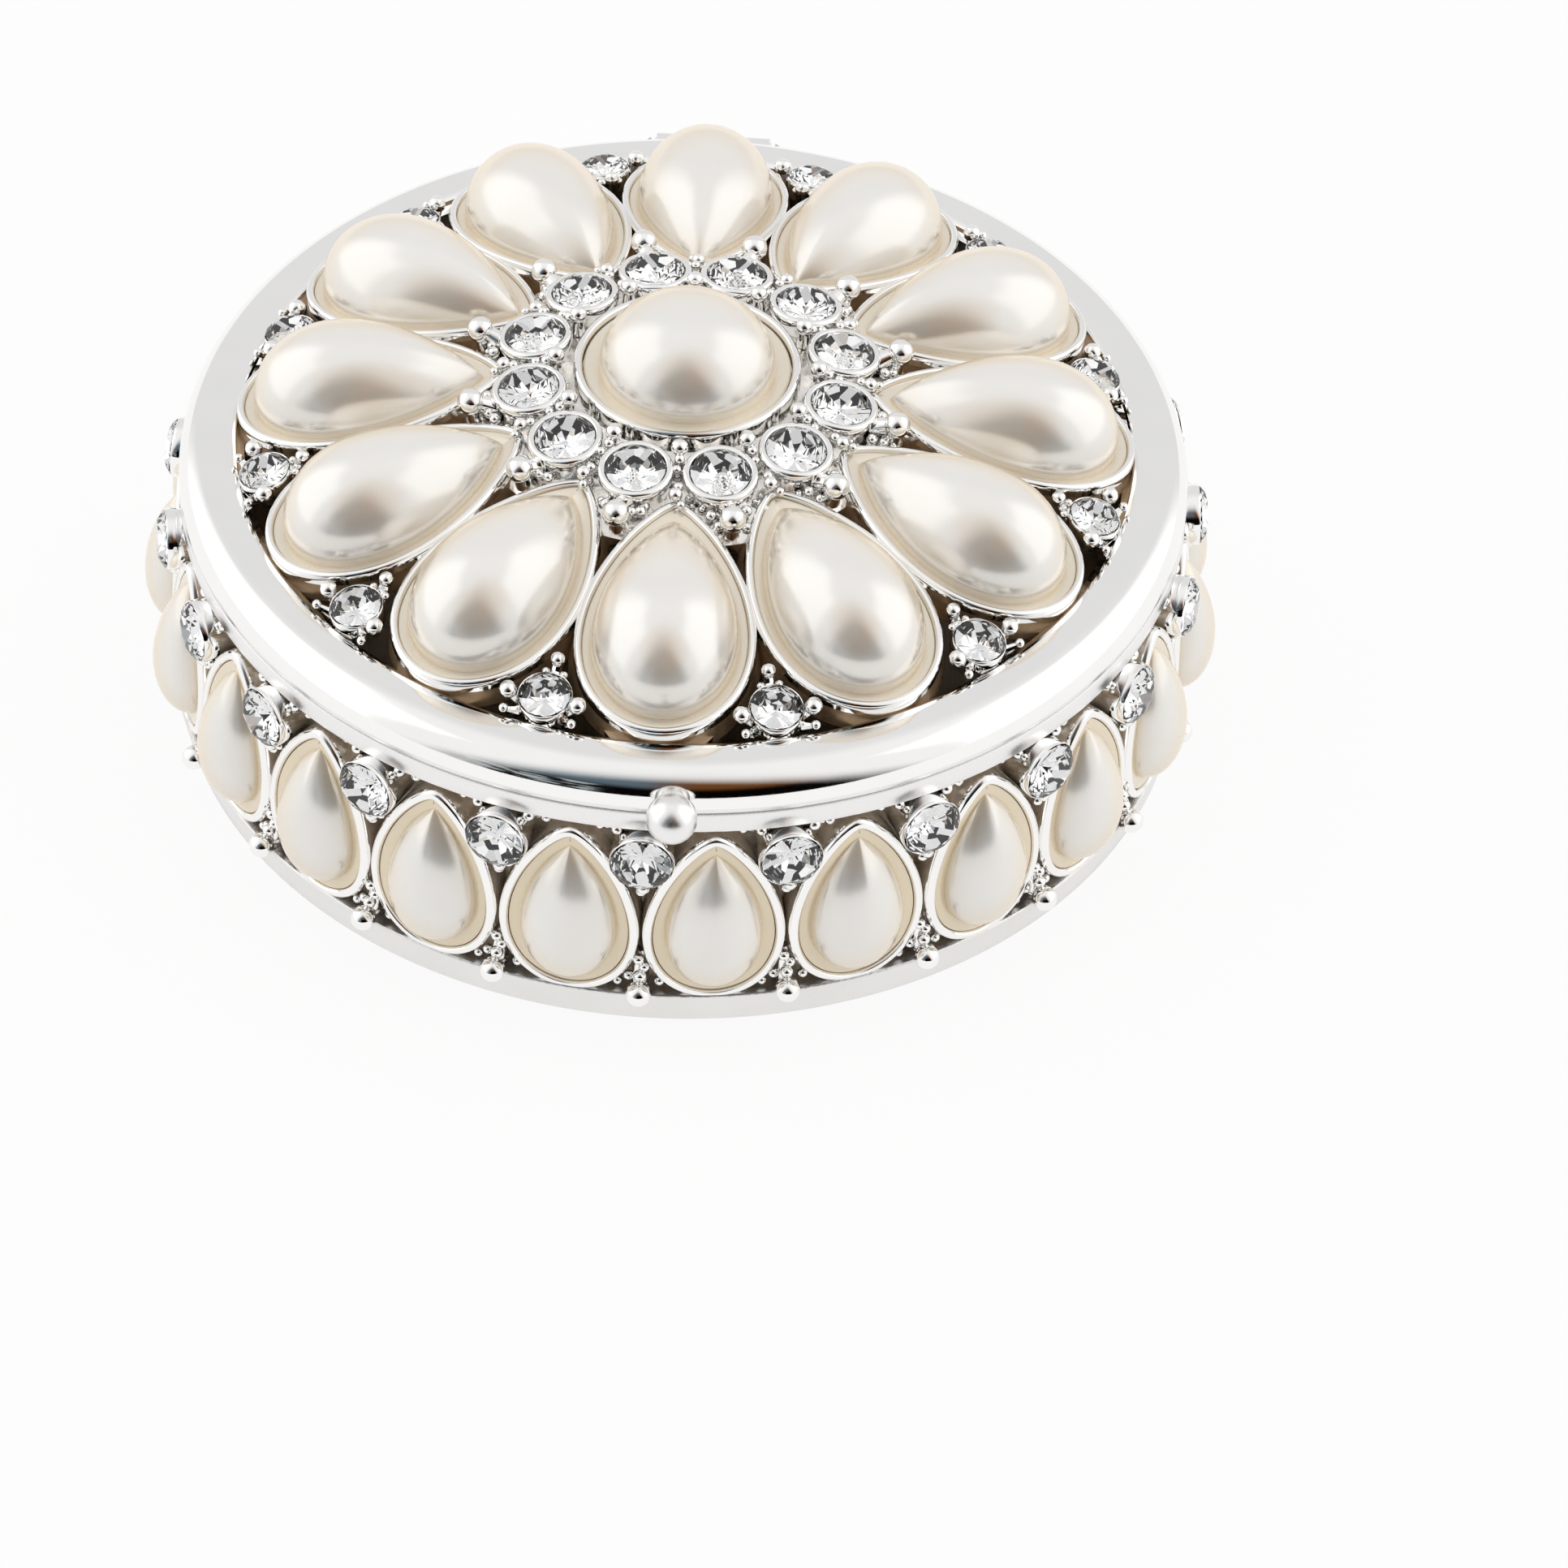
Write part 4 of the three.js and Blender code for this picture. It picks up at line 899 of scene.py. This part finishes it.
disc = [(0, 0), (32.5, 0), (FLOOR_RADIUS, FLOOR_EDGE), (FLOOR_RADIUS, FLOOR_TOP), (0, FLOOR_TOP)]
floor_disc = make("floor_disc", [(turned(disc, 144), 0)], [brushed])
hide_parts("floor_plate")
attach(floor_disc, "base")

# Magnets: nickel-plated discs. The body's is glued into a boss inside the front wall, and the lid's sits in a
# shallow cup under the front drop.
MAGNET_SEAT = (FRONT, 27.978, 0.0, 0.0)

nickel, tree, shader, place = blank("nickel_plate_dull")
# Sintered discs show a fine grain through the plate, about 0.3 mm across
grain = add(tree, "ShaderNodeTexNoise", {"Vector": place, "Scale": 1 / (0.3 * MM), "Detail": 3.0})
tone = add(tree, "ShaderNodeMix", {
    0: grain.outputs[0], 6: paint("#77685C"), 7: paint("#94867A"),
}, data_type="RGBA")
feed(tree, shader, {"Base Color": tone.outputs[2], "Metallic": 1.0, "Roughness": 0.42})

body_disc = [(0, 15.136), (3.3, 15.136), (3.4, 15.24), (3.4, 17.03), (3.3, 17.136), (0, 17.136)]
lid_disc = [(0, 18.886), (3.0, 18.886), (3.1, 18.98), (3.1, 19.9), (3.0, 19.986), (0, 19.986)]
boss = [(0, 1.8), (4.3, 1.8), (4.3, 17.5), (4.2, 17.62), (3.95, 17.636), (3.76, 17.56), (3.7, 17.4)]
boss += [(3.7, 14.8), (0, 14.8)]
holder = [(3.4, 20.286), (3.4, 18.85), (3.5, 18.736), (3.9, 18.736), (4.0, 18.85), (4.0, 20.9), (0, 20.9)]
holder += [(0, 20.286), holder[0]]
for name, profile, steps, finish, node, slot, body in (
    ("magnet_of_body", body_disc, 48, nickel, "body_magnet", "magnet", "base"),
    ("magnet_of_lid", lid_disc, 48, nickel, "lid_magnet", "magnet", "lid"),
    ("magnet_boss", boss, 64, lining, "body_casting", "body_plate", "base"),
    ("magnet_holder", holder, 64, bright, "lid_casting", "lid_plate", "lid"),
):
    piece = make(name, [(seated(turned(profile, steps), *MAGNET_SEAT), 0)], [finish])
    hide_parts(node)
    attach(piece, body)

# Thumb knob: a turned ball on a small collar, its peg soldered into the lid's band at the front. It stands a
# little right of the middle and leans upwards.
KNOB_RADIUS = 1.67
KNOB_LEAN = 0.2141
KNOB_SEAT = (FRONT + math.radians(2), 37.278, 20.486, math.pi / 2 - KNOB_LEAN)
neck = [(0, -3.3), (0.35, -3.3), (0.35, -2.2), (1.1, -2.2), (1.16, -2.05), (1.1, -1.62), (0.7, -1.45)]
neck += [(0, -1.4)]
knob = make("knob", [
    (seated(ball(KNOB_RADIUS, steps=64), *KNOB_SEAT), 0), (seated(turned(neck, 40), *KNOB_SEAT), 0),
], [satin])
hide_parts("thumb_knob")
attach(knob, "lid")

# Hinge: three cast knuckles on a steel pin with a domed head at both ends. The middle knuckle is the lid's.
# The two outer ones are cast with the body's rim.
HINGE_Y, HINGE_Z = 35.278, 18.586
KNUCKLE_BORE, KNUCKLE_RADIUS, KNUCKLE_EDGE = 0.9, 1.5, 0.14
PIN_RADIUS, HEAD_RADIUS, HEAD_RISE, HEAD_PLACE = 0.6, 1.1, 0.6, 4.6

steel, tree, shader, place = blank("steel_wire_drawn")
# Drawn wire carries fine lines along its length, about 0.1 mm apart and 4 mm long
WIRE_SCALE = (1 / (4 * MM), 1 / (0.1 * MM), 1 / (0.1 * MM))
along = add(tree, "ShaderNodeMapping", {"Vector": place, "Scale": WIRE_SCALE})
lines = add(tree, "ShaderNodeTexNoise", {"Vector": along.outputs[0], "Scale": 1.0, "Detail": 2.0})
tone = add(tree, "ShaderNodeMix", {
    0: lines.outputs[0], 6: paint("#B9BBBE"), 7: paint("#D2D4D6"),
}, data_type="RGBA")
gloss = add(tree, "ShaderNodeMapRange", {"Value": lines.outputs[0], "To Min": 0.15, "To Max": 0.32})
feed(tree, shader, {"Base Color": tone.outputs[2], "Roughness": gloss.outputs[0], "Metallic": 1.0})


def along_hinge(profile, steps=40):
    """A profile of (radius, place along the axis) pairs turned about the hinge's axis."""
    points, faces = turned(profile, steps)
    return points[:, [2, 0, 1]] + np.array([0, HINGE_Y, HINGE_Z]), faces


def knuckle(start, end):
    """One knuckle with softened ends."""
    softened = KNUCKLE_RADIUS - KNUCKLE_EDGE
    return along_hinge([
        (KNUCKLE_BORE, start), (softened, start), (KNUCKLE_RADIUS, start + KNUCKLE_EDGE),
        (KNUCKLE_RADIUS, end - KNUCKLE_EDGE), (softened, end), (KNUCKLE_BORE, end), (KNUCKLE_BORE, start),
    ])


lid_knuckle = make("lid_knuckle", [(knuckle(-1.6, 1.6), 0)], [bright])
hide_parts("lid_casting")
body_knuckles = make("body_knuckles", [(knuckle(1.9, 4.3), 0), (knuckle(-4.3, -1.9), 0)], [bright])
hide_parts("body_casting")
head = quarter((0, HEAD_PLACE), (HEAD_RADIUS, HEAD_RISE), 10)
pin_profile = [(radius, -place) for radius, place in reversed(head)]
pin_profile += [(PIN_RADIUS, -HEAD_PLACE), (PIN_RADIUS, HEAD_PLACE)] + head
pin = make("pin_of_hinge", [(along_hinge(pin_profile, 32), 0)], [steel])
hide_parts("hinge_pin")
for piece, slot, body in (
    (lid_knuckle, "lid_plate", "lid"), (body_knuckles, "body_plate", "base"), (pin, "floor", "base"),
):
    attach(piece, body)
